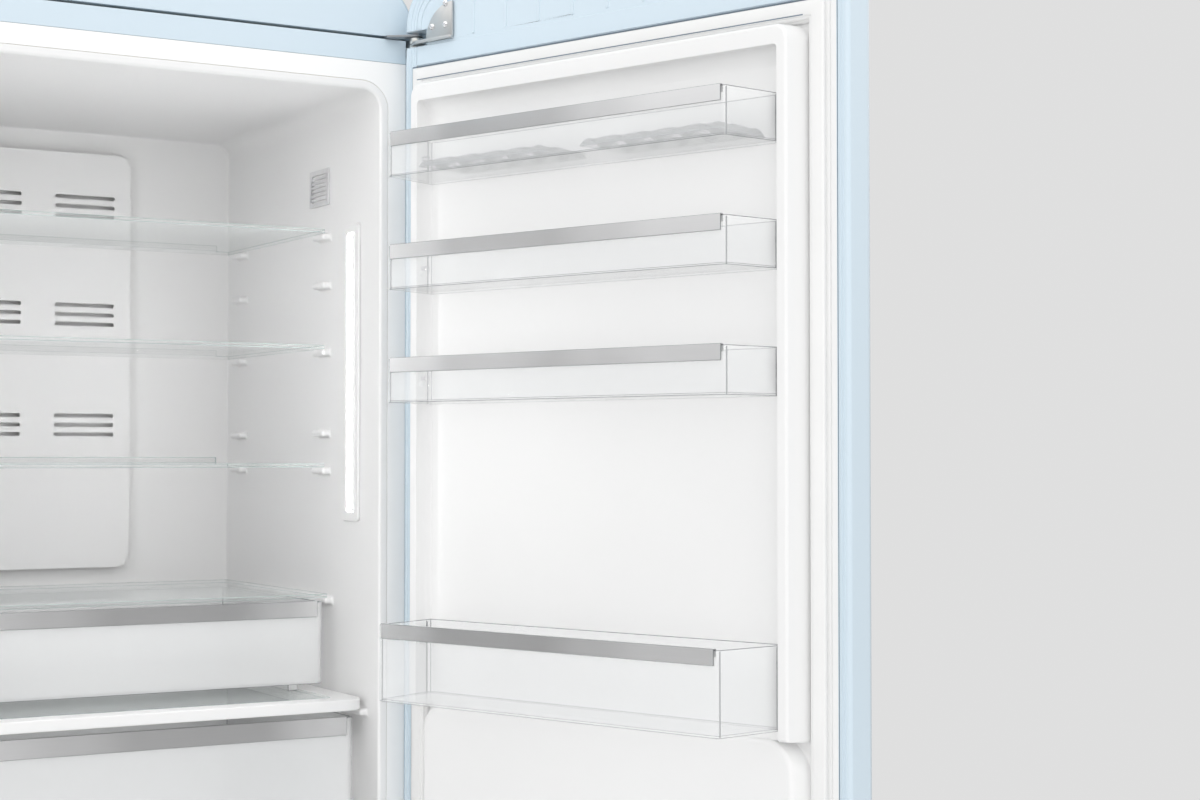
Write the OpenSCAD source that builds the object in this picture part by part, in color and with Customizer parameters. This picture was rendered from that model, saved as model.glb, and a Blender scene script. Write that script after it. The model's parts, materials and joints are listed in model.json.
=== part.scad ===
// Free-standing two-door refrigerator with a rounded hood: a tall fresh-food compartment
// with four door racks above a freezer compartment with three drawers.
// Millimetres. X to the right, Y to the back, Z up. Every shape is written with the closed
// doors on the cabinet's own datum (centre plane, door flange, floor) and then placed so
// that the origin is the sole of the left levelling foot.

/* [Cabinet] */
// Width over the side walls
cabinet_width = 706; // [680:1:740]
// Depth from the door flange to the back panel
cabinet_depth = 640; // [620:1:690]
// Height to the crown of the hood
cabinet_height = 2041; // [2000:1:2090]
// Radius of the two upper corners of the hood and of the upper door
hood_radius = 70; // [50:1:75]
// Height of the hood fascia
hood_height = 77; // [72:1:90]
// Height of the blue rail under the hood fascia
rail_height = 32; // [26:1:40]
// Gap between the rail and the fascia, where the upper hinge comes out
rail_gap = 3.6; // [3.4:0.1:5]
// Thickness of the painted steel side and hood skin
skin = 1.2; // [0.8:0.1:1.6]
// Width of the skin's front fold
fold_width = 11; // [8:1:14]
// Width of the white flange that the gaskets close on
flange_width = 26; // [22:1:30]
// Thickness of the white front frame
frame_thick = 1.5; // [1:0.1:2]
// Height of the cabinet's underside above the floor
base_height = 40; // [34:1:48]
// Radius of the compartments' corners
cavity_radius = 26; // [16:1:36]
// Width of each liner's rolled front lip
lip_width = 12; // [9:1:15]
// Thickness of the moulded liners
liner_thick = 2; // [1.5:0.1:3]
// Depth of the insulated wall behind the compartments
rear_wall = 80; // [70:1:90]

/* [Fresh-food compartment] */
// Height of its floor
fridge_floor = 806; // [800:1:812]
// Thickness of the glass shelves
shelf_thick = 5; // [4:0.5:6]
// Height of the upper shelf, as a share of the space over the chill drawer's lid
upper_shelf_share = 0.7473; // [0.73:0.0001:0.765]
// Height of the middle shelf, as a share of the same space
middle_shelf_share = 0.5086; // [0.49:0.0001:0.53]
// Height of the lower shelf, as a share of the same space
lower_shelf_share = 0.2653; // [0.245:0.0001:0.285]
// Setback of the shelves' front edges from the door flange
shelf_setback = 154; // [150:1:165]
// Thickness of the air duct behind the shelves
duct_thick = 20; // [14:1:30]
// Side clearance of a shelf in the liner
shelf_side_gap = 8; // [7:0.5:9]
// Top of the glass lid over the chill drawer
chill_lid_top = 1212; // [1208:1:1218]
// Top of the crisper's white cover frame
crisper_cover_top = 1080; // [1078:1:1084]
// Height of the crisper's white cover frame
crisper_cover_height = 15; // [12:1:18]
// Setback of the crisper's cover frame
crisper_cover_setback = 20; // [19:1:26]
// Height of the chill drawer
chill_height = 112; // [104:1:116]
// Setback of the chill drawer's front
chill_setback = 138; // [134:1:146]
// Height of the crisper drawer
crisper_height = 244; // [236:1:248]
// Setback of the crisper drawer's front
crisper_setback = 45; // [40:1:50]
// Wall thickness of the clear drawers
drawer_wall = 2.5; // [2:0.1:3.5]
// Height of the satin trims on the drawers
drawer_trim_height = 22; // [16:1:26]

/* [Freezer compartment] */
// Height of its floor
freezer_floor = 150; // [146:1:156]
// Height of its ceiling
freezer_ceiling = 690; // [682:1:694]
// Height of the step over the compressor
step_height = 340; // [336:1:344]
// Depth of the compressor's niche behind the step
niche_depth = 260; // [250:1:264]
// Setback of the freezer drawers' fronts
freezer_setback = 26; // [24:1:32]
// Bottom of the upper drawer, as a share of the space over the step
upper_drawer_share = 0.58; // [0.55:0.01:0.6]
// Height between one drawer and the next
drawer_gap = 12; // [10:1:16]
// Depth of the space behind the freezer's rear cover
cover_space = 60; // [54:1:64]

/* [Doors] */
// Opening angle of the upper door at rest
door_open = 108.4; // [90:0.1:112]
// Opening angle of the freezer door at rest
freezer_open = 100; // [90:1:112]
// Distance of the hinge axis from the cabinet's side
hinge_inset = 8; // [7:0.5:10]
// Distance of the hinge axis in front of the door flange
hinge_y = 26; // [25:0.5:28]
// Thickness of the doors from the inner flange to the flat of the front
door_thick = 58; // [54:1:64]
// Crown of the doors' fronts
door_crown = 8; // [4:1:12]
// Radius of the doors' front edges
door_edge = 24; // [18:1:26]
// Thickness of the doors' painted skin
door_skin = 1.2; // [0.8:0.1:1.6]
// Height of the gap between the two doors
door_gap = 8; // [8:0.5:10]
// Height of the middle of the gap between the two doors
door_split = 747; // [744:1:750]
// Height of the freezer door's lower edge
freezer_door_bottom = 96; // [94:1:100]
// Radius of the doors' rolled inner edges
door_roll = 5; // [4:0.5:6]
// Width of the skin's grooved fold beside the gasket
door_fold = 22; // [20:1:24]
// Thickness of the door gaskets
gasket_thick = 12; // [10:0.5:14]
// Width of the gaskets
gasket_width = 26; // [22:1:27]
// Thickness of the moulded door liners
door_liner_thick = 2.5; // [2:0.1:3]
// How far the liner's raised rim reaches into the cabinet
rim_reach = 31; // [26:1:34]
// Width of the raised rim at the sides
rim_width = 13; // [11:1:14]
// Width of the raised rim along the top
rim_top_width = 22; // [18:1:26]
// How far the liner's recessed field reaches into the cabinet
field_reach = 8; // [4:1:10]
// How far the liner's lower panel reaches into the cabinet
lower_panel_reach = 13; // [9:1:14]
// Height of the lower panel's upper edge
lower_panel_top = 1088; // [1086:1:1091]
// Height of the ribs on the door's top panel
panel_rib = 1; // [0.6:0.1:1.2]
// Spacing of the ribs on the door's top panel
panel_rib_pitch = 57; // [45:0.5:64]
// Radius of the handles' bars
handle_radius = 9; // [7:0.5:11]
// Length of the handles' bars
handle_length = 320; // [260:1:380]
// Clear finger depth behind the handles' bars
handle_reach = 34; // [28:1:42]

/* [Door racks] */
// Wall thickness of the clear racks
rack_wall = 2.2; // [1.8:0.1:3]
// Height of the three equal racks
rack_height = 56.5; // [50:0.5:64]
// Height of the bottle rack
bottle_rack_height = 97; // [88:1:106]
// Depth of the three equal racks
rack_depth = 92; // [86:1:96]
// Depth of the bottle rack
bottle_rack_depth = 106; // [98:1:112]
// Gap between a rack and the door liner's field on each side
rack_side_gap = 4.5; // [3.5:0.5:6.5]
// How much narrower a rack's front is on each side than its back
rack_taper = 14; // [11:0.5:19]
// Distance from the compartment's ceiling down to the upper rack
upper_rack_drop = 79.4; // [75:0.1:84]
// Distance from one equal rack to the next, as a share of the height over the bottle rack
rack_pitch_share = 0.231; // [0.22:0.001:0.237]
// Gap between the lower panel and the bottle rack
bottle_rack_lift = 9; // [5:0.5:12]
// Height of the satin trims on the racks
rack_trim_height = 18.6; // [14:0.2:22]
// Gap between the two egg trays
egg_tray_gap = 62; // [20:1:80]
// How far the pair of egg trays stands off the middle, towards the door's free edge
egg_tray_shift = 20; // [0:1:24]
// Height of the egg trays
egg_tray_height = 16; // [14:1:24]

/* [Base and machinery] */
// Radius of the levelling feet's pads
foot_radius = 20; // [16:0.5:24]
// Radius of the levelling feet's stems
foot_stem_radius = 5; // [4:0.5:6]
// Inset of the levelling feet from the cabinet's side
foot_inset = 45; // [40:1:55]
// Setback of the levelling feet from the door flange
foot_setback = 45; // [40:1:60]
// Radius of the rear rollers
roller_radius = 18; // [15:0.5:20]
// Width of the rear rollers
roller_width = 16; // [12:1:20]
// Radius of the rollers' axles
axle_radius = 4; // [3:0.5:5]
// Radius of the compressor's shell
compressor_radius = 78; // [70:1:84]
// Height of the compressor's shell
compressor_height = 165; // [150:1:180]
// Radius of the condenser and evaporator tubes
tube_radius = 3; // [2.5:0.5:4]
// Distance between the condenser's passes
condenser_pitch = 56; // [50:1:70]
// Number of the condenser's passes
condenser_passes = 12; // [8:2:14]
// Radius of the freezer's fan
fan_radius = 46; // [40:1:52]

/* [Fits] */
// Gap between pieces that move past each other or rest on each other
seat = 0.3; // [0.2:0.05:0.4]
// Radial clearance of pins, stems and axles in their bores
running = 0.08; // [0.03:0.01:0.09]
// Radius of the door hinge pins
pin_radius = 5; // [4:0.5:6]

/* [Hidden] */

// colours of the finishes
body_blue = [0.80, 0.88, 0.93];
liner_white = [0.93, 0.93, 0.93];
clear_grey = [0.90, 0.93, 0.95];
satin_metal = [0.72, 0.72, 0.72];
dark_grey = [0.25, 0.26, 0.27];
foam_cream = [0.93, 0.88, 0.70];

round_fn = 64; // facets of a full turn
cut = 1; // overrun of a cutting shape past the face it opens

// cabinet, from the crown downwards
half_width = cabinet_width / 2;
hinge_x = half_width - hinge_inset;
cavity_depth = cabinet_depth - rear_wall;
inner_half = half_width - skin - seat;
inner_top = cabinet_height - skin - seat;
inner_radius = hood_radius - skin - seat;
frame_half = half_width - fold_width - seat;
lip_half = half_width - fold_width - flange_width;
cavity_half = lip_half - lip_width;
fascia_bottom = cabinet_height - hood_height;
rail_top = fascia_bottom - rail_gap;
rail_bottom = rail_top - rail_height;
fridge_ceiling = rail_bottom - flange_width - lip_width;
frame_bottom = freezer_floor - lip_width - flange_width;
foam_front = max(frame_thick, liner_thick) + seat;
return_depth = 24; // depth of the folds of the rail and the fascia
return_thick = 3;
coil_space = 2 * tube_radius + 2 * seat;
foam_back = cabinet_depth - skin - coil_space;
niche_top = step_height - 16;
niche_front = cabinet_depth - niche_depth;

// how far a drawer of a given half width stands above a compartment's rounded floor
function floor_rise(half) =
  cavity_radius - sqrt(pow(cavity_radius, 2) - pow(max(half - cavity_half + cavity_radius, 0), 2)) + 2 * seat;

// shelves and what carries them
shelf_space = fridge_ceiling - chill_lid_top;
upper_shelf_top = chill_lid_top + round(upper_shelf_share * shelf_space);
middle_shelf_top = chill_lid_top + round(middle_shelf_share * shelf_space);
lower_shelf_top = chill_lid_top + round(lower_shelf_share * shelf_space);
shelf_half = cavity_half - shelf_side_gap;
shelf_depth = cavity_depth - duct_thick - 2 - shelf_setback;
lug_reach = shelf_side_gap + 5;
lug_height = 9;
lug_length = 40;
spare_rows = [(upper_shelf_top + middle_shelf_top) / 2 + 8, (middle_shelf_top + lower_shelf_top) / 2 - 36];
crisper_cover_half = cavity_half - 7;
crisper_cover_bottom = crisper_cover_top - crisper_cover_height;
crisper_cover_back = cavity_depth - 24;
cover_border = 34; // width of the white frame around the crisper's glass
cover_glass = 4;
skid = 14; // width of the skids under the drawers
chill_half = cavity_half - 19;
crisper_half = cavity_half - 14;
chill_floor = chill_lid_top - shelf_thick - 5 - chill_height;
crisper_floor = fridge_floor + floor_rise(crisper_half);
drawer_depth = cavity_depth - duct_thick - 17 - chill_setback; // of the chill drawer
crisper_depth = cavity_depth - 45 - crisper_setback;
lamp_bottom = chill_lid_top + round(0.15 * shelf_space);
lamp_top = chill_lid_top + round(0.749 * shelf_space);
lamp_front = 60; // setbacks of the lamp tile's two long edges
lamp_back = 112;
lamp_thick = 4;
lamp_border = [11, 13]; // borders of the lamp's window at its sides and ends
vent_front = 165; // setback of the wall vent
vent_bottom = chill_lid_top + round(0.8 * shelf_space);
vent_size = [66, 52];
vent_thick = 3;
vent_border = [8, 6];
vent_slot = 3;
vent_pitch = 6;

// freezer
step_depth = niche_front - 30;
rear_cover_setback = cavity_depth - cover_space;
drawer_half = cavity_half - 13;
drawer_ledge = 18;
ledge_height = 8;
middle_drawer_floor = step_height + drawer_gap;
upper_drawer_floor = middle_drawer_floor
  + round(upper_drawer_share * (freezer_ceiling - middle_drawer_floor));
grip_half = 90; // finger opening in a freezer drawer's front: half width, depth and radius
grip_depth = 34;
grip_radius = 14;
grip_lip = 14; // how far the rolled grip stands behind the front
shroud_wall = 3;
shroud_radius = fan_radius + 5 + shroud_wall;
fan_height = freezer_ceiling - 40 - fan_radius;
motor_radius = 16;
fin_low = step_height + 22; // foot of the evaporator's fins
fin_height = fan_height - shroud_radius - 48 - fin_low;
cover_sheet = 2.5; // thickness of the freezer's rear cover

// doors, written closed: their inner faces look to the back
door_face = -gasket_thick - seat;
door_front = door_face - door_thick;
gasket_half = cavity_half - 1 + gasket_width;
fold_half = half_width - door_fold;
liner_half = fold_half - seat;
fridge_door_low = door_split + door_gap / 2;
freezer_door_high = door_split - door_gap / 2;
fridge_gasket_top = fridge_ceiling - 1 + gasket_width;
fridge_gasket_low = fridge_floor + 1 - gasket_width;
freezer_gasket_top = freezer_ceiling - 1 + gasket_width;
freezer_gasket_low = freezer_floor + 1 - gasket_width;
panel_groove = 4; // dark groove between the gasket and the top panel
rim_margin = 6;
rim_half = cavity_half - rim_margin + 0.5;
field_half = rim_half - rim_width;
rim_top = fridge_ceiling - rim_margin;
rim_slope = 4;
field_slope = 1;
rim_bottom = lower_panel_top - 1;
lower_panel_low = fridge_floor + rim_margin;
panel_corner = 48; // radius of the lower panel's upper corners
back_of_liner = door_face - door_liner_thick;
freezer_panel_reach = 12;

// hinges
arm_thick = rail_gap - 2 * seat;
arm_top = fascia_bottom - seat;
arm_bottom = arm_top - arm_thick;
arm_width = 20;
bush_wall = 4;
barrel_radius = pin_radius + bush_wall;
barrel_height = 13;
barrel_top = arm_bottom - seat;
barrel_bottom = barrel_top - barrel_height;
notch_margin = 3;
notch_half = barrel_radius + notch_margin;
notch_reach = 33;
plate_thick = 3;
plate_radius = 52;
plate_reach = 86; // from the hinge axis to the plate's square corner
plate_corner = hinge_x - plate_reach;
bracket_thick = 3;
pin_length = 26;
socket_wall = 2;
socket_inset = 7; // from a door's end to its hinge socket

// racks and trims
rack_back_half = field_half - rack_side_gap;
rack_front_half = rack_back_half - rack_taper;
upper_rack_top = fridge_ceiling - upper_rack_drop;
bottle_rack_top = lower_panel_top + bottle_rack_lift + bottle_rack_height;
rack_pitch = round(2 * rack_pitch_share * (upper_rack_top - bottle_rack_top)) / 2;
equal_rack_tops = [for (row = [0:2]) upper_rack_top - row * rack_pitch];
rack_back = field_reach + seat;
rack_corner = 5;
peg_radius = 4;
ear = rack_side_gap - field_slope - seat;
peg_reach = rack_side_gap - seat - 0.4;
ear_drop = 26; // from a rack's upper edge down to its ears
ear_length = 12;
ear_thick = 5;
trim_thick = 1.2;
trim_leg = 9; // height of a trim's leg behind the wall
trim_inset = 6; // from a rack's or drawer's side to its trim
egg_rows = 2;
egg_columns = 5;
egg_tray_length = rack_front_half - egg_tray_gap;
egg_tray_depth = rack_depth - 4 * rack_wall;

// base
foot_x = half_width - foot_inset;
frame_beam = 14; // setback of the base frame's front beam
beam_depth = 36;
low_arm_half = 22; // half width of the lower hinge's arm
pan_thick = 2;
cheek = 2; // thickness of a roller's cheek
cheek_gap = 0.5;
cheek_half = 14;
axle_half = roller_width / 2 + 5;
roller_y = cabinet_depth - 42;
foot_pad = 8;
boss_radius = foot_stem_radius + 5;
boss_height = 26;
freezer_bracket_top = freezer_door_bottom - 5;
compressor_at = [130, (niche_front + cabinet_depth) / 2];

// ---------------------------------------------------------------- placing
module placed() translate([foot_x, -foot_setback, 0]) children();
module swung(angle)
  placed() translate([hinge_x, -hinge_y, 0]) rotate([0, 0, angle]) translate([-hinge_x, hinge_y, 0])
    children();
module both_sides() {
  children();
  mirror([1, 0, 0]) children();
}

// ---------------------------------------------------------------- shared shapes
// a front-view outline centred on x, with its own radii above and below
module outline(half, low, high, above, below) {
  translate([-half, low + below]) square([2 * half, high - low - above - below]);
  translate([-half + above, low + below]) square([2 * (half - above), high - low - below]);
  translate([-half + below, low]) square([2 * (half - below), high - low - above]);
  for (side = [-1, 1]) {
    if (above > 0)
      translate([side * (half - above), high - above]) circle(r = above, $fn = round_fn);
    if (below > 0)
      translate([side * (half - below), low + below]) circle(r = below, $fn = round_fn);
  }
}
// a front-view outline carried from one depth to another
module slab(from, to, half, low, high, above = 0, below = 0)
  translate([0, to, 0]) rotate([90, 0, 0]) linear_extrude(to - from)
    outline(half, low, high, above, below);
module slab_at(x, from, to, half, low, high, above = 0, below = 0)
  translate([x, 0, 0]) slab(from, to, half, low, high, above, below);
// a slab with a smaller slab taken out of its middle
module ring(from, to, half, low, high, above, below, width)
  difference() {
    slab(from, to, half, low, high, above, below);
    slab(from - cut, to + cut, half - width, low + width, high - width, max(above - width, 0),
      max(below - width, 0));
  }
// a rounded tile lying on the right wall, from one x to another
module wall_tile(from, to, front, back, low, high, radius)
  translate([from, (front + back) / 2, 0]) rotate([90, 0, 90]) linear_extrude(to - from)
    outline((back - front) / 2, low, high, radius, radius);
module box(low, high) translate(low) cube(high - low);
module upright(radius, low, high, at)
  translate([at[0], at[1], low]) cylinder(r = radius, h = high - low, $fn = round_fn);
module along_x(radius, from, to, y, z)
  translate([from, y, z]) rotate([0, 90, 0]) cylinder(r = radius, h = to - from, $fn = round_fn);
module along_y(radius, x, from, to, z)
  translate([x, to, z]) rotate([90, 0, 0]) cylinder(r = radius, h = to - from, $fn = round_fn);

// ---------------------------------------------------------------- cabinet
module cabinet_wrap() color(body_blue) placed() difference() {
  slab(0, cabinet_depth, half_width, base_height, cabinet_height, hood_radius);
  slab(skin, cabinet_depth + cut, half_width - skin, base_height - cut, cabinet_height - skin,
    hood_radius - skin);
  slab(-cut, skin + cut, half_width - fold_width, base_height - cut, fascia_bottom);
  slab(-cut, skin + cut, half_width - skin, fascia_bottom - seat, cabinet_height - skin,
    hood_radius - skin);
}

module hood_fascia() color(body_blue) placed() difference() {
  slab(0, return_depth + return_thick, inner_half, rail_bottom - hood_radius, inner_top, inner_radius);
  difference() {
    slab(return_thick, return_depth + return_thick + cut, inner_half - return_thick,
      rail_bottom - hood_radius - cut, inner_top - return_thick, inner_radius - return_thick);
    box([-half_width, 0, 0], [half_width, cabinet_depth, fascia_bottom + return_thick]);
  }
  box([-half_width, -cut, 0], [half_width, cabinet_depth, fascia_bottom]);
}

module top_rail() color(body_blue) placed() difference() {
  slab(0, return_depth, frame_half, rail_bottom + seat, rail_top);
  slab(return_thick, return_depth + cut, frame_half + cut, rail_bottom + seat + return_thick,
    rail_top - return_thick);
}

module front_frame() color(liner_white) placed() difference() {
  slab(0, frame_thick, frame_half, frame_bottom, rail_bottom);
  slab(-cut, frame_thick + cut, lip_half, fridge_floor - lip_width, fridge_ceiling + lip_width,
    cavity_radius + lip_width, cavity_radius + lip_width);
  slab(-cut, frame_thick + cut, lip_half, freezer_floor - lip_width, freezer_ceiling + lip_width,
    cavity_radius + lip_width, cavity_radius + lip_width);
}

// the rolled lip in front of a compartment
module liner_lip(low, high)
  ring(0, liner_thick, lip_half - seat, low - lip_width + seat, high + lip_width - seat,
    cavity_radius + lip_width - seat, cavity_radius + lip_width - seat, lip_width - seat);
// a moulded ledge on both side walls of a compartment
module wall_ledge(top, height, from, to, reach)
  both_sides() box([cavity_half - reach, from, top - height], [cavity_half + cut, to, top]);
module shelf_lugs(top) {
  wall_ledge(top, lug_height, shelf_setback + 6, shelf_setback + 6 + lug_length, lug_reach);
  wall_ledge(top, lug_height, shelf_setback + shelf_depth - 20 - lug_length,
    shelf_setback + shelf_depth - 20, lug_reach);
}

module fridge_space(grow, front = 0)
  slab(front, cavity_depth + grow, cavity_half + grow, fridge_floor - grow, fridge_ceiling + grow,
    cavity_radius + grow, cavity_radius + grow);
module fridge_liner() color(liner_white) placed() {
  difference() {
    fridge_space(liner_thick);
    fridge_space(0, -cut);
  }
  liner_lip(fridge_floor, fridge_ceiling);
  for (top = [upper_shelf_top, middle_shelf_top, lower_shelf_top]) shelf_lugs(top - shelf_thick - seat);
  for (top = spare_rows) shelf_lugs(top);
  wall_ledge(chill_lid_top - shelf_thick - seat, lug_height, chill_setback + 12,
    chill_setback + drawer_depth - 35, lug_reach);
  wall_ledge(crisper_cover_bottom - seat, lug_height, crisper_cover_setback + 14,
    crisper_cover_back - 6, lug_reach - 2);
}

// the freezer's space: deep above the step, shallow below it where the compressor sits
module freezer_space(grow, front = 0) {
  slab(front, step_depth + grow, cavity_half + grow, freezer_floor - grow, freezer_ceiling + grow,
    cavity_radius + grow, cavity_radius + grow);
  slab(front, cavity_depth + grow, cavity_half + grow, step_height - grow, freezer_ceiling + grow,
    cavity_radius + grow);
}
module freezer_liner() color(liner_white) placed() {
  difference() {
    freezer_space(liner_thick);
    freezer_space(0, -cut);
  }
  liner_lip(freezer_floor, freezer_ceiling);
  for (top = [middle_drawer_floor, upper_drawer_floor])
    wall_ledge(top - seat, ledge_height, freezer_setback + 14, rear_cover_setback - 10, drawer_ledge);
}

module cabinet_foam() color(foam_cream) placed() difference() {
  union() {
    slab(foam_front, foam_back, frame_half, frame_bottom, rail_bottom);
    slab(return_depth + return_thick + seat, foam_back, inner_half, frame_bottom, inner_top, inner_radius);
  }
  fridge_space(liner_thick + seat);
  freezer_space(liner_thick + seat);
  box([-half_width, niche_front, 0], [half_width, cabinet_depth, niche_top]);
  both_sides() box([lip_half - arm_width, 0, arm_bottom - seat], [half_width, 90, arm_top + seat]);
}

louvre_count = 8;
louvre_height = 5;
louvre_pitch = 14;
louvre_half = 180; // half width of the louvres in the back panel
louvre_drop = 60; // from the panel's crown down to them
cover_louvre = [150, 110, 30]; // centre, half width and drop of the machine cover's louvres
module louvres(front, back, half, top, count)
  for (row = [0:count - 1])
    slab(front - cut, back + cut, half, top - louvre_pitch * row - louvre_height,
      top - louvre_pitch * row, louvre_height / 2 - 0.1, louvre_height / 2 - 0.1);
module back_panel() color(body_blue) placed() difference() {
  slab(cabinet_depth - skin, cabinet_depth, inner_half, niche_top + seat, inner_top, inner_radius);
  louvres(cabinet_depth - skin, cabinet_depth, louvre_half, inner_top - louvre_drop, louvre_count);
}

gland_at = [-250, 96]; // plain gland where a mains lead would enter
gland_radius = 13;
gland_bore = 5;
gland_front = cabinet_depth - 8;
gland_back = cabinet_depth + 3;
module machine_cover() color(dark_grey) placed() difference() {
  union() {
    slab(cabinet_depth - skin, cabinet_depth, inner_half, base_height + pan_thick + seat, niche_top);
    along_y(gland_radius, gland_at[0], gland_front, gland_back, gland_at[1]);
  }
  for (side = [-1, 1]) translate([side * cover_louvre[0], 0, 0])
    louvres(cabinet_depth - skin, cabinet_depth, cover_louvre[1], niche_top - cover_louvre[2],
      louvre_count + 4);
  along_y(gland_bore, gland_at[0], gland_front - cut, gland_back + cut, gland_at[1]);
}

coil_half = 230;
coil_low = 560;
module bend(radius, tube)
  rotate([90, 0, 0]) rotate_extrude(angle = 180, $fn = round_fn) translate([radius, 0])
    circle(r = tube, $fn = 24);
module condenser_coil() color(dark_grey) placed() translate([0, foam_back + seat + tube_radius, coil_low]) {
  for (pass = [0:condenser_passes - 1])
    along_x(tube_radius, -coil_half, coil_half, 0, pass * condenser_pitch);
  for (pass = [0:condenser_passes - 2])
    translate([(pass % 2 == 0 ? 1 : -1) * coil_half, 0, (pass + 0.5) * condenser_pitch])
      rotate([0, pass % 2 == 0 ? 90 : -90, 0]) bend(condenser_pitch / 2, tube_radius);
}

// ---------------------------------------------------------------- base and machinery
// a flat hinge arm from inside the cabinet to the hinge axis
arm_offset = 25; // from the hinge axis to the arm's middle
arm_neck = 8; // how far the arm runs straight in front of the flange
module hinge_arm(low, high, back, half) {
  middle = hinge_x - arm_offset;
  axis = [hinge_x, -hinge_y];
  side = barrel_radius * [cos(30), sin(30)];
  translate([0, 0, low]) linear_extrude(high - low) {
    translate([middle - half, -arm_neck]) square([2 * half, back + arm_neck]);
    polygon([[middle - half, -arm_neck], [middle + half, -arm_neck], axis + side, axis - side]);
    translate(axis) circle(r = barrel_radius, $fn = round_fn);
  }
}

module base_frame() color(dark_grey) placed() difference() {
  union() {
    box([-inner_half, frame_beam, base_height],
      [inner_half, cabinet_depth - skin - seat, base_height + pan_thick]);
    difference() {
      slab(frame_beam, frame_beam + beam_depth, frame_half, base_height, frame_bottom - seat);
      slab(frame_beam + pan_thick, frame_beam + beam_depth + cut, frame_half + cut, base_height - cut,
        frame_bottom - seat - pan_thick);
    }
    hinge_arm(freezer_bracket_top - bracket_thick, freezer_bracket_top, frame_beam + pan_thick, low_arm_half);
    upright(pin_radius, freezer_bracket_top - bracket_thick, freezer_bracket_top + pin_length,
      [hinge_x, -hinge_y]);
    for (side = [-1, 1]) {
      upright(boss_radius, base_height, base_height + boss_height, [side * foot_x, foot_setback]);
      for (face = [-1, 1]) {
        middle = side * foot_x + face * (roller_width / 2 + cheek_gap + cheek / 2);
        box([middle - cheek / 2, roller_y - cheek_half, roller_radius - 10],
          [middle + cheek / 2, roller_y + cheek_half, base_height + pan_thick]);
      }
      along_x(axle_radius, side * foot_x - axle_half, side * foot_x + axle_half, roller_y, roller_radius);
    }
  }
  for (side = [-1, 1])
    upright(foot_stem_radius + running, base_height - cut, base_height + boss_height + cut,
      [side * foot_x, foot_setback]);
}

module levelling_foot(side) color(dark_grey) placed() translate([side * foot_x, foot_setback, 0]) {
  cylinder(r = foot_radius, h = foot_pad - 2, $fn = round_fn);
  translate([0, 0, foot_pad - 2]) cylinder(r1 = foot_radius, r2 = foot_radius - 4, h = 2, $fn = round_fn);
  cylinder(r = foot_stem_radius * 2, h = foot_pad + 7, $fn = 6);
  cylinder(r = foot_stem_radius, h = base_height + boss_height - 4, $fn = round_fn);
}
module left_foot() levelling_foot(-1);
module right_foot() levelling_foot(1);

module rear_roller(side) color(dark_grey) placed() translate([side * foot_x, 0, 0]) difference() {
  along_x(roller_radius, -roller_width / 2, roller_width / 2, roller_y, roller_radius);
  along_x(axle_radius + running, -roller_width, roller_width, roller_y, roller_radius);
}
module left_roller() rear_roller(-1);
module right_roller() rear_roller(1);

mount_at = [85, 58]; // rubber mounts of the compressor's plate
mount_radius = 11;
mount_height = 12;
mount_plate = [200, 144, 3];
seam_height = 70; // seam flange round the compressor's shell
module compressor() color(dark_grey) placed() translate(concat(compressor_at, base_height + pan_thick)) {
  for (x = [-1, 1]) for (y = [-1, 1])
    translate([x * mount_at[0], y * mount_at[1], seat])
      cylinder(r = mount_radius, h = mount_height, $fn = round_fn);
  translate([-mount_plate[0] / 2, -mount_plate[1] / 2, mount_height - 2]) cube(mount_plate);
  translate([0, 0, mount_height]) rotate_extrude($fn = round_fn) intersection() {
    union() {
      square([compressor_radius, compressor_height - compressor_radius / 2]);
      translate([compressor_radius / 2, compressor_height - compressor_radius / 2])
        circle(r = compressor_radius / 2, $fn = round_fn);
      square([compressor_radius / 2, compressor_height]);
    }
    square([compressor_radius, compressor_height]);
  }
  translate([0, 0, seam_height]) cylinder(r = compressor_radius + 4, h = 5, $fn = round_fn);
}

plinth_back = frame_beam - seat;
plinth_front = plinth_back - 10;
plinth_low = 12;
plinth_high = freezer_bracket_top - bracket_thick - seat;
plinth_wall = 2;
plinth_border = 14; // above and below the slots
slot_pitch = 20;
slot_half = 4;
module plinth_grille() color(body_blue) placed() difference() {
  slab(plinth_front, plinth_back, frame_half, plinth_low, plinth_high);
  slab(plinth_front + plinth_wall, plinth_back + cut, frame_half - plinth_wall, plinth_low - cut,
    plinth_high - plinth_wall);
  for (slot = [-12:12])
    slab_at(slot * slot_pitch, plinth_front - cut, plinth_back, slot_half, plinth_low + plinth_border,
      plinth_high - plinth_border, slot_half - 0.1, slot_half - 0.1);
}

// ---------------------------------------------------------------- fittings of the compartments
duct_half = 140;
duct_low = chill_lid_top + 24;
duct_high = fridge_ceiling - 34;
duct_front = cavity_depth - duct_thick;
duct_wall = 3;
duct_radius = 24;
air_slot = [70, 45, 6]; // centre, half width and height of the air slots
air_slot_lift = 40; // from a shelf up to its slots
air_slot_pitch = 14;
module air_duct() color(liner_white) placed() difference() {
  slab(duct_front, cavity_depth - seat, duct_half, duct_low, duct_high, duct_radius, duct_radius);
  slab(duct_front + duct_wall, cavity_depth, duct_half - duct_wall, duct_low + duct_wall,
    duct_high - duct_wall, duct_radius - duct_wall, duct_radius - duct_wall);
  for (top = [upper_shelf_top, middle_shelf_top, lower_shelf_top]) for (row = [0:2]) {
    low = top + air_slot_lift + air_slot_pitch * row;
    both_sides() slab_at(air_slot[0], duct_front - cut, duct_front + duct_wall + cut, air_slot[1], low,
      low + air_slot[2], air_slot[2] / 2 - 0.1, air_slot[2] / 2 - 0.1);
  }
}

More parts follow.
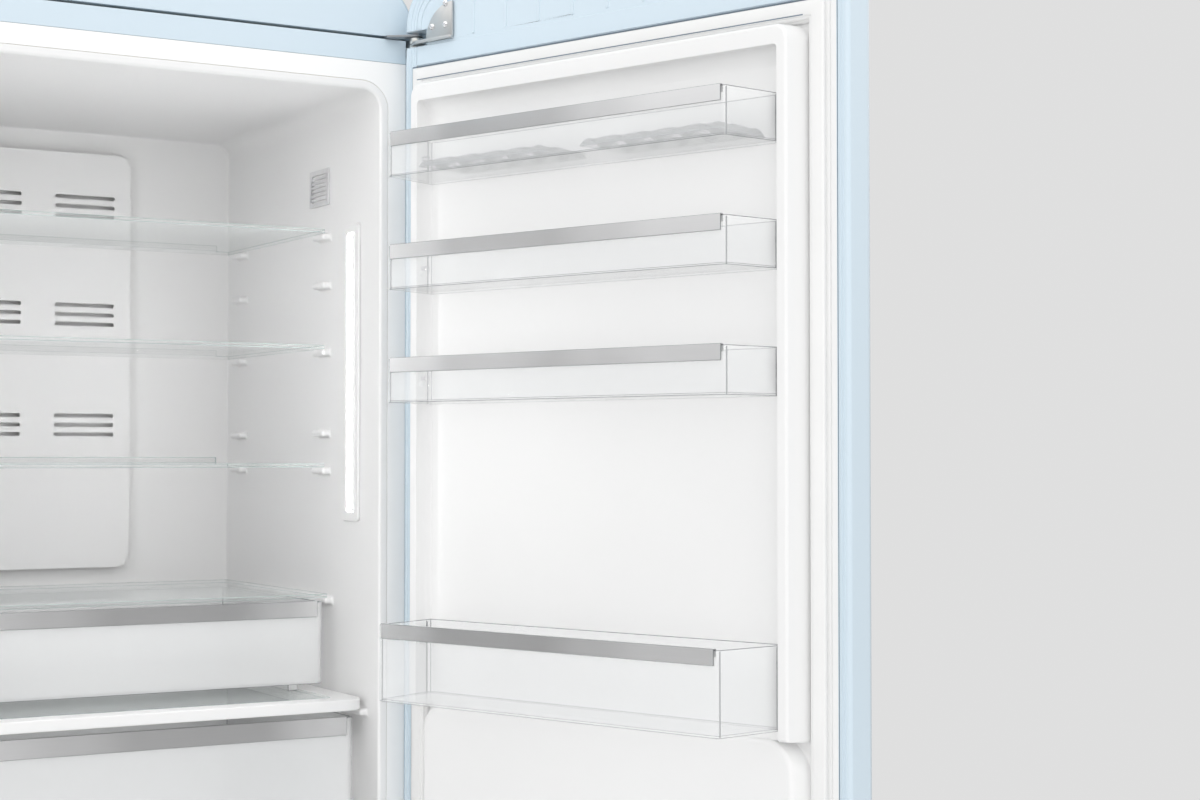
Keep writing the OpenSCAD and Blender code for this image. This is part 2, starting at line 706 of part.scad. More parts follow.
wall_face = cavity_half - seat;
module lamp_tile(from, to, inset, radius)
  wall_tile(from, to, lamp_front + inset[0], lamp_back - inset[0], lamp_bottom + inset[1],
    lamp_top - inset[1], radius);
module led_housings() color(liner_white) placed() both_sides() difference() {
  lamp_tile(wall_face - lamp_thick, wall_face, [0, 0], 6);
  lamp_tile(wall_face - lamp_thick - cut, wall_face + cut, lamp_border, 4);
}
module led_lenses() color([1, 1, 1]) placed() both_sides()
  lamp_tile(wall_face - lamp_thick - 0.4, wall_face, lamp_border + [seat, seat], 3.5);

module wall_vent() color(satin_metal) placed() difference() {
  wall_tile(wall_face - vent_thick, wall_face, vent_front, vent_front + vent_size[0], vent_bottom,
    vent_bottom + vent_size[1], 2);
  for (low = [vent_border[1]:vent_pitch:vent_size[1] - vent_border[1] - vent_slot])
    wall_tile(wall_face - vent_thick - cut, wall_face + cut, vent_front + vent_border[0],
      vent_front + vent_size[0] - vent_border[0], vent_bottom + low, vent_bottom + low + vent_slot, 1.4);
}

// plan of a plate or tub with rounded front corners
module plan(half, front, back, radius) {
  translate([-half, front + radius]) square([2 * half, back - front - radius]);
  translate([-half + radius, front]) square([2 * (half - radius), radius + cut]);
  for (side = [-1, 1]) translate([side * (half - radius), front + radius]) circle(r = radius, $fn = round_fn);
}
module plate(low, high, half, front, back, radius)
  translate([0, 0, low]) linear_extrude(high - low) plan(half, front, back, radius);

stop_thick = 4; // rear stop of a glass shelf
stop_height = 9;
module glass_shelf(top) color(clear_grey) placed() {
  plate(top - shelf_thick, top, shelf_half, shelf_setback, shelf_setback + shelf_depth, 12);
  box([20 - shelf_half, shelf_setback + shelf_depth - stop_thick, top - cut],
    [shelf_half - 20, shelf_setback + shelf_depth, top + stop_height]);
}
module upper_shelf() glass_shelf(upper_shelf_top);
module middle_shelf() glass_shelf(middle_shelf_top);
module lower_shelf() glass_shelf(lower_shelf_top);

module crisper_cover_frame() color(liner_white) placed() difference() {
  plate(crisper_cover_bottom, crisper_cover_top, crisper_cover_half, crisper_cover_setback,
    crisper_cover_back, 30);
  plate(crisper_cover_bottom - cut, crisper_cover_top + cut, crisper_cover_half - cover_border - 8,
    crisper_cover_setback + cover_border + 8, crisper_cover_back - cover_border, 8);
  plate(crisper_cover_top - cover_glass, crisper_cover_top + cut, crisper_cover_half - cover_border,
    crisper_cover_setback + cover_border, crisper_cover_back - cover_border + 8, 12);
}
module crisper_cover_glass() color(clear_grey) placed()
  plate(crisper_cover_top - cover_glass + seat, crisper_cover_top, crisper_cover_half - cover_border - seat,
    crisper_cover_setback + cover_border + seat, crisper_cover_back - cover_border + 8 - seat, 12);
module chill_lid() color(clear_grey) placed()
  plate(chill_lid_top - shelf_thick, chill_lid_top, shelf_half, chill_setback + 4,
    shelf_setback + shelf_depth, 12);

// the two skids under a drawer
skid_inset = [30, 20]; // from a drawer's sides and ends to its skids
module skids(half, front, back, low, floor)
  both_sides() box([half - skid_inset[0] - skid, front + skid_inset[1], low],
    [half - skid_inset[0], back - skid_inset[1], floor + cut / 2]);
// an open tub with skids
module tub(floor, high, half, front, back, radius, seat_on) {
  difference() {
    plate(floor, high, half, front, back, radius);
    plate(floor + drawer_wall, high + cut, half - drawer_wall, front + drawer_wall, back - drawer_wall,
      radius - drawer_wall);
  }
  skids(half, front, back, seat_on, floor);
}
// a clip-on trim: face, top and inner leg, folded over a front wall of a given thickness
module clip_trim(half, front, wall, top, height)
  translate([-half, 0, 0]) rotate([90, 0, 90]) linear_extrude(2 * half) polygon([
    [front - seat - trim_thick, top - height], [front - seat, top - height],
    [front - seat, top - trim_thick], [front + wall + seat, top - trim_thick],
    [front + wall + seat, top - trim_leg], [front + wall + seat + trim_thick, top - trim_leg],
    [front + wall + seat + trim_thick, top], [front - seat - trim_thick, top]
  ]);
module chill_drawer() color(clear_grey) placed()
  tub(chill_floor, chill_floor + chill_height, chill_half, chill_setback, chill_setback + drawer_depth, 10,
    crisper_cover_top + seat);
module chill_drawer_trim() color(satin_metal) placed()
  clip_trim(chill_half - trim_inset - 4, chill_setback, drawer_wall,
    chill_floor + chill_height + seat + trim_thick, drawer_trim_height);
module crisper_drawer() color(clear_grey) placed()
  tub(crisper_floor, crisper_floor + crisper_height, crisper_half, crisper_setback,
    crisper_setback + crisper_depth, 12, fridge_floor + seat);
module crisper_drawer_trim() color(satin_metal) placed()
  clip_trim(crisper_half - trim_inset - 6, crisper_setback, drawer_wall,
    crisper_floor + crisper_height + seat + trim_thick, drawer_trim_height + 3);

// a freezer drawer: a tub with a rolled grip round the finger opening in its front
grip_border = 14;
module freezer_drawer(floor, high, depth, lift) color(clear_grey) placed() {
  front = freezer_setback;
  if (lift > 0) skids(drawer_half, front, front + depth, floor - lift, floor);
  difference() {
    plate(floor, high, drawer_half, front, front + depth, 12);
    plate(floor + drawer_wall, high + cut, drawer_half - drawer_wall, front + drawer_wall,
      front + depth - drawer_wall, 12 - drawer_wall);
    slab(front - cut, front + grip_lip, grip_half, high - grip_depth, high + cut, 0, grip_radius);
  }
  difference() {
    slab(front, front + grip_lip, grip_half + grip_border, high - grip_depth - grip_border, high, 0,
      grip_radius + 4);
    slab(front - cut, front + grip_lip + cut, grip_half, high - grip_depth, high + cut, 0, grip_radius);
    slab(front + drawer_wall, front + grip_lip - drawer_wall, grip_half + grip_border - 3,
      high - grip_depth - grip_border + 3, high + cut, 0, grip_radius + 3);
  }
}
upper_drawers_depth = rear_cover_setback - freezer_setback - 8;
module lower_freezer_drawer()
  freezer_drawer(freezer_floor + floor_rise(drawer_half), step_height - 2, step_depth - freezer_setback - 8,
    floor_rise(drawer_half) - seat);
module middle_freezer_drawer()
  freezer_drawer(middle_drawer_floor, upper_drawer_floor - drawer_gap, upper_drawers_depth, 0);
module upper_freezer_drawer()
  freezer_drawer(upper_drawer_floor, freezer_ceiling - drawer_gap, upper_drawers_depth, 0);

shroud_back = rear_cover_setback + 24;
spindle_radius = 3;
spider_thick = 6;
cover_slot = [26, 5, 24, 38]; // pitch, half width, foot and height of the cover's slots
module freezer_rear_cover() color(liner_white) placed() {
  difference() {
    union() {
      slab(rear_cover_setback, rear_cover_setback + cover_sheet, cavity_half - seat, step_height + seat,
        freezer_ceiling - seat, cavity_radius);
      along_y(shroud_radius, 0, rear_cover_setback, shroud_back, fan_height);
    }
    along_y(shroud_radius - shroud_wall, 0, rear_cover_setback - cut, shroud_back + cut, fan_height);
    for (slot = [-9:9])
      slab_at(slot * cover_slot[0], rear_cover_setback - cut, rear_cover_setback + cover_sheet + cut,
        cover_slot[1], step_height + cover_slot[2], step_height + cover_slot[2] + cover_slot[3],
        cover_slot[1] - 0.1, cover_slot[1] - 0.1);
  }
  for (turn = [0:2]) translate([0, shroud_back - spider_thick, fan_height]) rotate([0, 120 * turn + 30, 0])
    translate([motor_radius - 2, 0, -4]) cube([shroud_radius - motor_radius, spider_thick, 8]);
  along_y(motor_radius, 0, shroud_back - spider_thick, shroud_back + 8, fan_height);
  along_y(spindle_radius, 0, rear_cover_setback + 4, shroud_back, fan_height);
}
blades = 5;
blade_root = 12; // where a blade leaves the hub
blade = [fan_radius - blade_root, 1.6, 20];
hub_radius = 14;
hub_length = 12;
module fan_rotor() color(dark_grey) placed() translate([0, rear_cover_setback + 5, fan_height]) difference() {
  union() {
    along_y(hub_radius, 0, 0, hub_length, 0);
    for (turn = [0:blades - 1]) rotate([0, 360 / blades * turn, 0])
      translate([blade_root, hub_length / 2, 0]) rotate([35, 0, 0])
        translate([0, -blade[1] / 2, -blade[2] / 2]) intersection() {
          cube(blade);
          translate([0, 2, blade[2] / 2]) rotate([90, 0, 0]) cylinder(r = blade[0], h = 4, $fn = round_fn);
        }
  }
  along_y(spindle_radius + running, 0, -cut, hub_length + cut, 0);
}

fin_pitch = 26;
fins = 9;
fin = [0.8, 46, fin_height];
tube_rows = [12, 34]; // depths of the evaporator's tubes
tube_foot = 24; // height of its lowest tubes, and the space above its highest
evaporator_half = fins * fin_pitch + 20;
tube_levels = [for (level = [0:2]) tube_foot + level * (fin_height - 2 * tube_foot) / 2];
module evaporator() color(satin_metal) placed()
  translate([0, rear_cover_setback + cover_sheet + seat, fin_low]) {
    for (at = [-fins:fins]) translate([at * fin_pitch, 0, 0]) cube(fin);
    for (level = tube_levels) {
      for (depth = tube_rows)
        along_x(tube_radius + 1, -evaporator_half, evaporator_half, depth, level);
      both_sides() box([evaporator_half - 7, tube_rows[0] - 3, level - 3],
        [evaporator_half + 1, tube_rows[1] + 3, level + 3]);
    }
  }

// ---------------------------------------------------------------- hinges of the cabinet
module top_hinge() color(satin_metal) placed() {
  hinge_arm(arm_bottom, arm_top, 80, arm_width / 2);
  upright(pin_radius, barrel_bottom + 1, arm_top, [hinge_x, -hinge_y]);
}
middle_plate_half = 24;
module middle_hinge() color(satin_metal) placed() {
  hinge_arm(door_split - bracket_thick / 2, door_split + bracket_thick / 2, -seat, arm_width / 2);
  slab_at(hinge_x - arm_offset - 10, -seat - bracket_thick, -seat, arm_width / 2,
    door_split - middle_plate_half, door_split + middle_plate_half, 3, 3);
  upright(pin_radius, door_split - pin_length, door_split + pin_length, [hinge_x, -hinge_y]);
}

// ---------------------------------------------------------------- doors
// one corner of a door: a rolled edge swept round the corner
module door_corner(x, z, corner, roll, depth, shrink)
  translate([x, depth, z]) rotate([90, 0, 0]) {
    if (corner > 2 * roll)
      rotate_extrude($fn = 40) translate([corner - roll, 0]) circle(r = roll - shrink, $fn = 24);
    else
      sphere(r = roll - shrink, $fn = 32);
  }
// the crowned body of a door, shrunk all over by a skin's thickness
crown_half = half_width - door_edge;
crown_margin = 50;
function crown_at(x) = door_front - door_crown * (1 - pow(x / crown_half, 2));
module door_form(low, high, corner, shrink)
  hull() for (side = [-1, 1]) {
    for (edge = [[door_roll, door_face - door_roll], [door_edge, door_front + door_edge]]) {
      top_corner = max(corner, edge[0]);
      door_corner(side * (half_width - top_corner), high - top_corner, top_corner, edge[0], edge[1], shrink);
      door_corner(side * (half_width - edge[0]), low + edge[0], edge[0], edge[0], edge[1], shrink);
    }
    translate([0, 0, low + door_edge + crown_margin])
      linear_extrude(high - low - 2 * (door_edge + crown_margin)) polygon(concat(
        [for (step = [0:8]) let(x = side * crown_half * step / 8) [x, crown_at(x) + shrink]],
        [[side * crown_half, door_front + door_edge], [0, door_front + door_edge]]
      ));
  }
module hinge_notch()
  box([hinge_x - notch_reach, -hinge_y - notch_half, barrel_bottom - notch_margin],
    [half_width + cut, door_face + cut, arm_top + notch_margin]);

// a door's pressed skin: open at the back inside its grooved fold
module door_pan(low, high, corner) {
  difference() {
    door_form(low, high, corner, 0);
    door_form(low, high, corner, door_skin);
    slab(door_face - door_skin - 1, door_face + cut, fold_half, low + door_fold, high - door_fold,
      max(corner - door_fold, 4), 4);
    for (inset = [4.5, 10.5])
      ring(door_face - door_skin / 2, door_face + cut, fold_half + inset, low + door_fold - inset,
        high - door_fold + inset, max(corner - door_fold + inset, 4), 4, 1.2);
  }
}
// a round socket for a hinge pin, from one height to another, with a web to the door's side
socket_radius = pin_radius + socket_wall;
module socket(low, high) difference() {
  union() {
    upright(socket_radius, low, high, [hinge_x, -hinge_y]);
    box([hinge_x, -hinge_y - socket_wall, low], [half_width - door_skin / 2, -hinge_y + socket_wall, high]);
  }
  upright(pin_radius + running, low - cut, high + cut, [hinge_x, -hinge_y]);
}
module socket_hole(low, high) upright(socket_radius, low, high, [hinge_x, -hinge_y]);
module socket_space(low, high) {
  upright(socket_radius + 1, low, high, [hinge_x, -hinge_y]);
  box([hinge_x, -hinge_y - socket_wall - 1, low], [half_width, -hinge_y + socket_wall + 1, high]);
}

fridge_socket = [fridge_door_low + socket_inset, fridge_door_low + socket_inset + pin_length];
freezer_high_socket = [freezer_door_high - socket_inset - pin_length, freezer_door_high - socket_inset];
freezer_low_socket = [freezer_door_bottom + socket_inset, freezer_door_bottom + socket_inset + pin_length];

module fridge_door_skin() color(body_blue) swung(door_open) {
  difference() {
    door_pan(fridge_door_low, cabinet_height, hood_radius);
    hinge_notch();
    socket_hole(fridge_door_low - cut, fridge_door_low + socket_inset + cut);
  }
  socket(fridge_socket[0], fridge_socket[1]);
}
module freezer_door_skin() color(body_blue) swung(freezer_open) {
  difference() {
    door_pan(freezer_door_bottom, freezer_door_high, door_roll);
    socket_hole(freezer_door_bottom - cut, freezer_door_bottom + socket_inset + cut);
    socket_hole(freezer_door_high - socket_inset - cut, freezer_door_high + cut);
  }
  socket(freezer_low_socket[0], freezer_low_socket[1]);
  socket(freezer_high_socket[0], freezer_high_socket[1]);
}

// a block with drafted sides: one outline at its foot, a smaller one at its face
module drafted(foot, face, half, low, high, draft, end_draft, above, below)
  hull() {
    slab(foot, foot + 0.1, half, low, high, above, below);
    slab(face - 0.1, face, half - draft, low + end_draft, high - end_draft, above, below);
  }
// the relief of the fridge door's liner: a raised rim round a recessed field, over a lower panel
module rim_block(shrink)
  drafted(back_of_liner - cut, rim_reach - shrink, rim_half + rim_slope - shrink, rim_bottom - rim_slope,
    rim_top + rim_slope - shrink, rim_slope, rim_slope, cavity_radius - rim_margin, 4);
module rim_field(grow)
  drafted(rim_reach + cut, field_reach - grow, field_half + grow, lower_panel_top - 30,
    rim_top - rim_top_width + grow, field_slope, field_slope, 14, 4);
module lower_panel(shrink)
  drafted(back_of_liner - cut, lower_panel_reach - shrink, rim_half + rim_slope - shrink,
    lower_panel_low + shrink, lower_panel_top - shrink, 12, 3, panel_corner, 14);
module fridge_relief(shrink) {
  difference() {
    rim_block(shrink);
    rim_field(shrink);
  }
  lower_panel(shrink);
}
module freezer_relief(shrink)
  drafted(back_of_liner - cut, freezer_panel_reach - shrink, rim_half + rim_slope - shrink,
    freezer_floor + rim_margin + shrink, freezer_ceiling - rim_margin - shrink, 12, 12, 24, 24);

fridge_liner_low = fridge_door_low + door_fold + seat;
fridge_liner_high = fridge_gasket_top + 1;
module fridge_door_liner() color(liner_white) swung(door_open) {
  difference() {
    union() {
      slab(back_of_liner, door_face, liner_half, fridge_liner_low, fridge_liner_high, 0, 3);
      fridge_relief(0);
    }
    fridge_relief(door_liner_thick);
    box([-half_width, back_of_liner - 2 * cut, 0], [half_width, back_of_liner, cabinet_height]);
  }
  for (top = concat(equal_rack_tops, bottle_rack_top))
    both_sides() along_x(peg_radius, field_half - peg_reach, field_half + 1, field_reach + 14,
      top - ear_drop - seat - peg_radius);
}
module freezer_door_liner() color(liner_white) swung(freezer_open) difference() {
  union() {
    slab(back_of_liner, door_face, liner_half, freezer_door_bottom + door_fold + seat,
      freezer_door_high - door_fold - seat, 3, 3);
    freezer_relief(0);
  }
  freezer_relief(door_liner_thick);
  box([-half_width, back_of_liner - 2 * cut, 0], [half_width, back_of_liner, cabinet_height]);
}

// insulation between a door's skin and its liner
module door_fill(low, high, corner) difference() {
  door_form(low, high, corner, door_skin + seat);
  box([-half_width, back_of_liner - seat, low], [half_width, 0, high]);
}
module fridge_door_foam() color(foam_cream) swung(door_open) difference() {
  door_fill(fridge_door_low, cabinet_height, hood_radius);
  hinge_notch();
  socket_space(fridge_door_low, fridge_socket[1] + 4);
}
module freezer_door_foam() color(foam_cream) swung(freezer_open) difference() {
  door_fill(freezer_door_bottom, freezer_door_high, door_roll);
  socket_space(freezer_door_bottom, freezer_low_socket[1] + 4);
  socket_space(freezer_high_socket[0] - 4, freezer_door_high);
}

// a magnetic gasket: a flat base, a bellows and a magnet pocket
module gasket(half, low, high) {
  ring(door_face, door_face + 4, half, low, high, 3, 3, gasket_width);
  ring(door_face + 4, door_face + 7, half - 5, low + 5, high - 5, 3, 3, gasket_width - 10);
  ring(door_face + 7, -seat, half - 2, low + 2, high - 2, 3, 3, gasket_width - 5);
}
module fridge_door_gasket() color(liner_white) swung(door_open)
  gasket(gasket_half, fridge_gasket_low, fridge_gasket_top);
module freezer_door_gasket() color(liner_white) swung(freezer_open)
  gasket(gasket_half, freezer_gasket_low, freezer_gasket_top);

panel_low = fridge_liner_high + seat;
panel_high = cabinet_height - door_fold - seat;
panel_radius = hood_radius - door_fold - seat;
panel_face = fridge_gasket_top + panel_groove;
panel_field = panel_face + 25; // lower edge of the ribbed field
field_depth = panel_rib + 0.2;
rib_half = 2.5;
rib_low = panel_field + 5;
rib_count = 4;
module fridge_door_top_panel() color(body_blue) swung(door_open) difference() {
  union() {
    slab(back_of_liner, door_face - field_depth, liner_half, panel_low, panel_high, panel_radius);
    ring(door_face - field_depth, door_face, liner_half, panel_face, panel_high, panel_radius, 0, 8);
    slab(door_face - field_depth, door_face, liner_half, panel_face, panel_field);
    for (rib = [-rib_count:rib_count])
      slab_at(rib * panel_rib_pitch, door_face - field_depth, door_face - field_depth + panel_rib, rib_half,
        rib_low, panel_high - 16, rib_half - 0.1, rib_half - 0.1);
  }
  hinge_notch();
}

screw_holes = [[plate_corner + 12, 47], [plate_corner + 12, 19], [plate_corner + 38, 19]];
plate_fold = 7; // how far the plate's folded edges stand off the door
plate_edge = 2.5;
link_from = hinge_x - 26; // the link from the plate back to the barrel
link_to = hinge_x - 18;
screw_radius = 2.7;
module fridge_door_hinge_plate() color(satin_metal) swung(door_open) difference() {
  foot = barrel_bottom;
  union() {
    translate([0, door_face + plate_thick + seat, 0]) rotate([90, 0, 0]) linear_extrude(plate_thick)
      intersection() {
        translate([plate_corner, foot]) circle(r = plate_radius, $fn = 96);
        translate([plate_corner, foot]) square(plate_radius);
      }
    box([plate_corner, door_face + seat, foot],
      [plate_corner + plate_edge, door_face + plate_fold, foot + plate_radius - 1]);
    box([plate_corner, door_face + seat, foot], [link_to, door_face + plate_fold, foot + plate_thick]);
    box([link_from, -hinge_y - 7, foot], [link_to, door_face + plate_fold, foot + plate_thick]);
    box([link_from, -hinge_y - 7, foot], [hinge_x, -hinge_y + 7, foot + plate_thick]);
    upright(barrel_radius, foot, barrel_top, [hinge_x, -hinge_y]);
  }
  upright(pin_radius + running, foot - cut, barrel_top + cut, [hinge_x, -hinge_y]);
  for (hole = screw_holes)
    along_y(screw_radius, hole[0], door_face - cut, door_face + plate_fold, foot + hole[1]);
}

// a bar handle on two posts, standing on the crowned front near the free edge
handle_x = -(crown_half - 30);
post_inset = 36;
post_radius = 7;
handle_drop = 90; // from a door's end to its handle
handle_foot = crown_at(handle_x) - seat - 0.6;
module door_handle(low) {
  bar_y = handle_foot - handle_reach - handle_radius;
  upright(handle_radius, low + handle_radius, low + handle_length - handle_radius, [handle_x, bar_y]);
  for (end = [low + handle_radius, low + handle_length - handle_radius])
    translate([handle_x, bar_y, end]) sphere(r = handle_radius, $fn = round_fn);
  for (post = [low + post_inset, low + handle_length - post_inset]) {
    along_y(post_radius, handle_x, bar_y, handle_foot, post);
    along_y(post_radius + 5, handle_x, handle_foot - 4.4, handle_foot, post);
  }
}
module fridge_door_handle() color(satin_metal) swung(door_open) door_handle(fridge_door_low + handle_drop);
module freezer_door_handle() color(satin_metal) swung(freezer_open)
  door_handle(freezer_door_high - handle_drop - handle_length);

// ---------------------------------------------------------------- door racks
// plan of a rack, tapering from its back to its rounded front
module rack_plan(depth, inset) {
  centre = [rack_front_half - rack_corner, rack_back + depth - rack_corner];
  radius = rack_corner - inset;
  right = [for (turn = [0:15:90]) centre + radius * [cos(turn), sin(turn)]];
  left = [for (turn = [90:15:180]) [-centre[0], centre[1]] + radius * [cos(turn), sin(turn)]];
  polygon(concat(right, left, [for (side = [-1, 1]) [side * (rack_back_half - inset), rack_back + inset]]));
}
module rack(top, height, depth) swung(door_open) {
  wall_top = top - trim_thick - seat;
  difference() {
    translate([0, 0, top - height]) linear_extrude(wall_top - top + height) rack_plan(depth, 0);
    translate([0, 0, top - height + rack_wall]) linear_extrude(height) rack_plan(depth, rack_wall);
  }
  both_sides() box([rack_back_half - rack_wall, rack_back + 4, top - ear_drop],
    [rack_back_half + ear, rack_back + 4 + ear_length, top - ear_drop + ear_thick]);
}
module rack_trim(top, depth) swung(door_open)
  translate([0, rack_back + depth, 0]) mirror([0, 1, 0])
    clip_trim(rack_front_half - trim_inset, 0, rack_wall, top, rack_trim_height);
module upper_rack() color(clear_grey) rack(equal_rack_tops[0], rack_height, rack_depth);
module middle_rack() color(clear_grey) rack(equal_rack_tops[1], rack_height, rack_depth);
module lower_rack() color(clear_grey) rack(equal_rack_tops[2], rack_height, rack_depth);
module bottle_rack() color(clear_grey) rack(bottle_rack_top, bottle_rack_height, bottle_rack_depth);
module upper_rack_trim() color(satin_metal) rack_trim(equal_rack_tops[0], rack_depth);
module middle_rack_trim() color(satin_metal) rack_trim(equal_rack_tops[1], rack_depth);
module lower_rack_trim() color(satin_metal) rack_trim(equal_rack_tops[2], rack_depth);
module bottle_rack_trim() color(satin_metal) rack_trim(bottle_rack_top, bottle_rack_depth);

egg_pitch_x = egg_tray_length / egg_columns;
egg_pitch_y = egg_tray_depth / egg_rows;
egg_radius = min(egg_pitch_x, egg_pitch_y) / 2 - 2.2;
cup_wall = 1.4;
module egg_cups(radius, low, high)
  for (column = [0:egg_columns - 1]) for (row = [0:egg_rows - 1])
    upright(radius, low, high, [(column + 0.5) * egg_pitch_x, (row + 0.5) * egg_pitch_y]);
module egg_tray() difference() {
  union() {
    translate([0, 0, egg_tray_height - cup_wall]) cube([egg_tray_length, egg_tray_depth, cup_wall]);
    egg_cups(egg_radius + cup_wall, 0, egg_tray_height);
  }
  egg_cups(egg_radius, cup_wall, egg_tray_height + cut);
}
module egg_trays() color(clear_grey) swung(door_open)
  for (middle = [-rack_front_half / 2, rack_front_half / 2])
    translate([middle - egg_tray_shift - egg_tray_length / 2, rack_back + 2 * rack_wall,
      upper_rack_top - rack_height + rack_wall + seat]) egg_tray();

cabinet_wrap();
hood_fascia();
top_rail();
front_frame();
fridge_liner();
freezer_liner();
cabinet_foam();
back_panel();
machine_cover();
condenser_coil();
base_frame();
compressor();
plinth_grille();
air_duct();
led_housings();
led_lenses();
wall_vent();
crisper_cover_frame();
crisper_cover_glass();
chill_lid();
freezer_rear_cover();
evaporator();
fan_rotor();
top_hinge();
middle_hinge();
left_foot();
right_foot();
left_roller();
right_roller();
upper_shelf();
middle_shelf();
lower_shelf();
chill_drawer();
chill_drawer_trim();
crisper_drawer();
crisper_drawer_trim();
upper_freezer_drawer();
middle_freezer_drawer();
lower_freezer_drawer();
fridge_door_skin();
fridge_door_foam();
fridge_door_liner();
fridge_door_gasket();
fridge_door_top_panel();
fridge_door_hinge_plate();
fridge_door_handle();
upper_rack();
upper_rack_trim();
middle_rack();
middle_rack_trim();
lower_rack();
lower_rack_trim();
bottle_rack();
bottle_rack_trim();
egg_trays();
freezer_door_skin();
freezer_door_foam();
freezer_door_liner();
freezer_door_gasket();
freezer_door_handle();
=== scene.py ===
"""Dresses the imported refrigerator: finishes, softened edges, moulded liners, fittings and a studio."""
import json
import math

import bmesh
import bpy
from mathutils import Matrix, Vector

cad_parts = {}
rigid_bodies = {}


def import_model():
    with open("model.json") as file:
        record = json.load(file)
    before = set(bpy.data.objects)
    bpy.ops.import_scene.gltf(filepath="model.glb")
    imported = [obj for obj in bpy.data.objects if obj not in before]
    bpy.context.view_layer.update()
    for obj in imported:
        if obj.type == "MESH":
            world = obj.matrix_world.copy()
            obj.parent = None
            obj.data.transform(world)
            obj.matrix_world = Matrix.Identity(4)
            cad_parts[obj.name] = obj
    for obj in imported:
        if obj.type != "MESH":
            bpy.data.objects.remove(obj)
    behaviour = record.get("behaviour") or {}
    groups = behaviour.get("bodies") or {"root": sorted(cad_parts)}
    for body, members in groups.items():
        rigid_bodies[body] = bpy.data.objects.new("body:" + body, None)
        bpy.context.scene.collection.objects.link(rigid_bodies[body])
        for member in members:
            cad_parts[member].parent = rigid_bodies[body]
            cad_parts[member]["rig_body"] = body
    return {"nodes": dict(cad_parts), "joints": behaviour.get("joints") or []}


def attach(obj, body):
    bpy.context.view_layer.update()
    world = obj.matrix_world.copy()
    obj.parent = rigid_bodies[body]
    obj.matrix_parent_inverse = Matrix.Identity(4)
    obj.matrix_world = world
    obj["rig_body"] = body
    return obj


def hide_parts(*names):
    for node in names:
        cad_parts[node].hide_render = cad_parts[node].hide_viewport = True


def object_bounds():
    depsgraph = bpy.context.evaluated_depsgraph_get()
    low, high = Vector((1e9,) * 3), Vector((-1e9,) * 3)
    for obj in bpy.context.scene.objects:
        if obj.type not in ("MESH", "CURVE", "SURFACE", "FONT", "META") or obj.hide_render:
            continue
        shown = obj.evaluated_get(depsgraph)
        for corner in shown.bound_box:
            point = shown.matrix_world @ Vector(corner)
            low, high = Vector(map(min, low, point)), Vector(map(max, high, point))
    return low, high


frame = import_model()
CAD_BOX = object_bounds()
JOINTS = {joint["name"]: joint for joint in frame["joints"]}

bl_info = {
    "name": "Refrigerator Finishes",
    "version": (1, 0, 0),
    "blender": (4, 5, 0),
    "location": "3D View > Sidebar > Refrigerator",
    "description": "Finishes and fittings of an open retro refrigerator, and its studio",
    "category": "Object",
}

MM = 0.001
CABINET_ORIGIN = Vector((0.308, -0.045, 0.0))
CABINET = Matrix.Translation(CABINET_ORIGIN) @ Matrix.Scale(MM, 4)

# Corners closer than WELD metres are one corner; faces that turn by less than FLAT_ANGLE are one face
WELD = 0.01 * MM
FLAT_ANGLE = math.radians(0.5)
# Edges of rigid parts that turn by at least SHARP_ANGLE are rounded; new meshes are creased over SMOOTH_ANGLE
SHARP_ANGLE = math.radians(28)
SMOOTH_ANGLE = math.radians(32)
# A rounded edge takes at most this share of the narrower face beside it
ROUNDED_SHARE = 0.42
# Faces of a door liner with at least this many square metres are shaded flat
WIDE_FACE = 0.01

# Depths of a shut door, in millimetres behind the cabinet's front
DOOR_FACE = -12.3
LINER_BACK = -14.8
# Half the width of the raised panels on both doors' inner faces, and the least radius of their corners
PANEL_HALF = 302.5
LEAST_CORNER = 1.0

RACKS = ("upper_rack", "middle_rack", "lower_rack", "bottle_rack")


def door_matrix(door):
    """Carries cabinet millimetres of a shut door to where the open door has them."""
    joint = JOINTS[f"{door}_door_swing"]
    axis = Matrix.Translation((*joint["pos_m"][:2], 0.0))
    turn = Matrix.Rotation(math.radians(-joint["range_deg"][0]), 4, "Z")
    return axis @ turn @ axis.inverted() @ CABINET


# ---- properties


def colour(name, description, default):
    return bpy.props.FloatVectorProperty(
        name=name, description=description, subtype="COLOR", size=3, min=0.0, max=1.0, default=default
    )


def length(name, description, default):
    return bpy.props.FloatProperty(
        name=name, description=description, subtype="DISTANCE", unit="LENGTH", min=0.0, default=default
    )


def share(name, description, default, most=1.0):
    return bpy.props.FloatProperty(
        name=name, description=description, subtype="FACTOR", min=0.0, max=most, default=default
    )


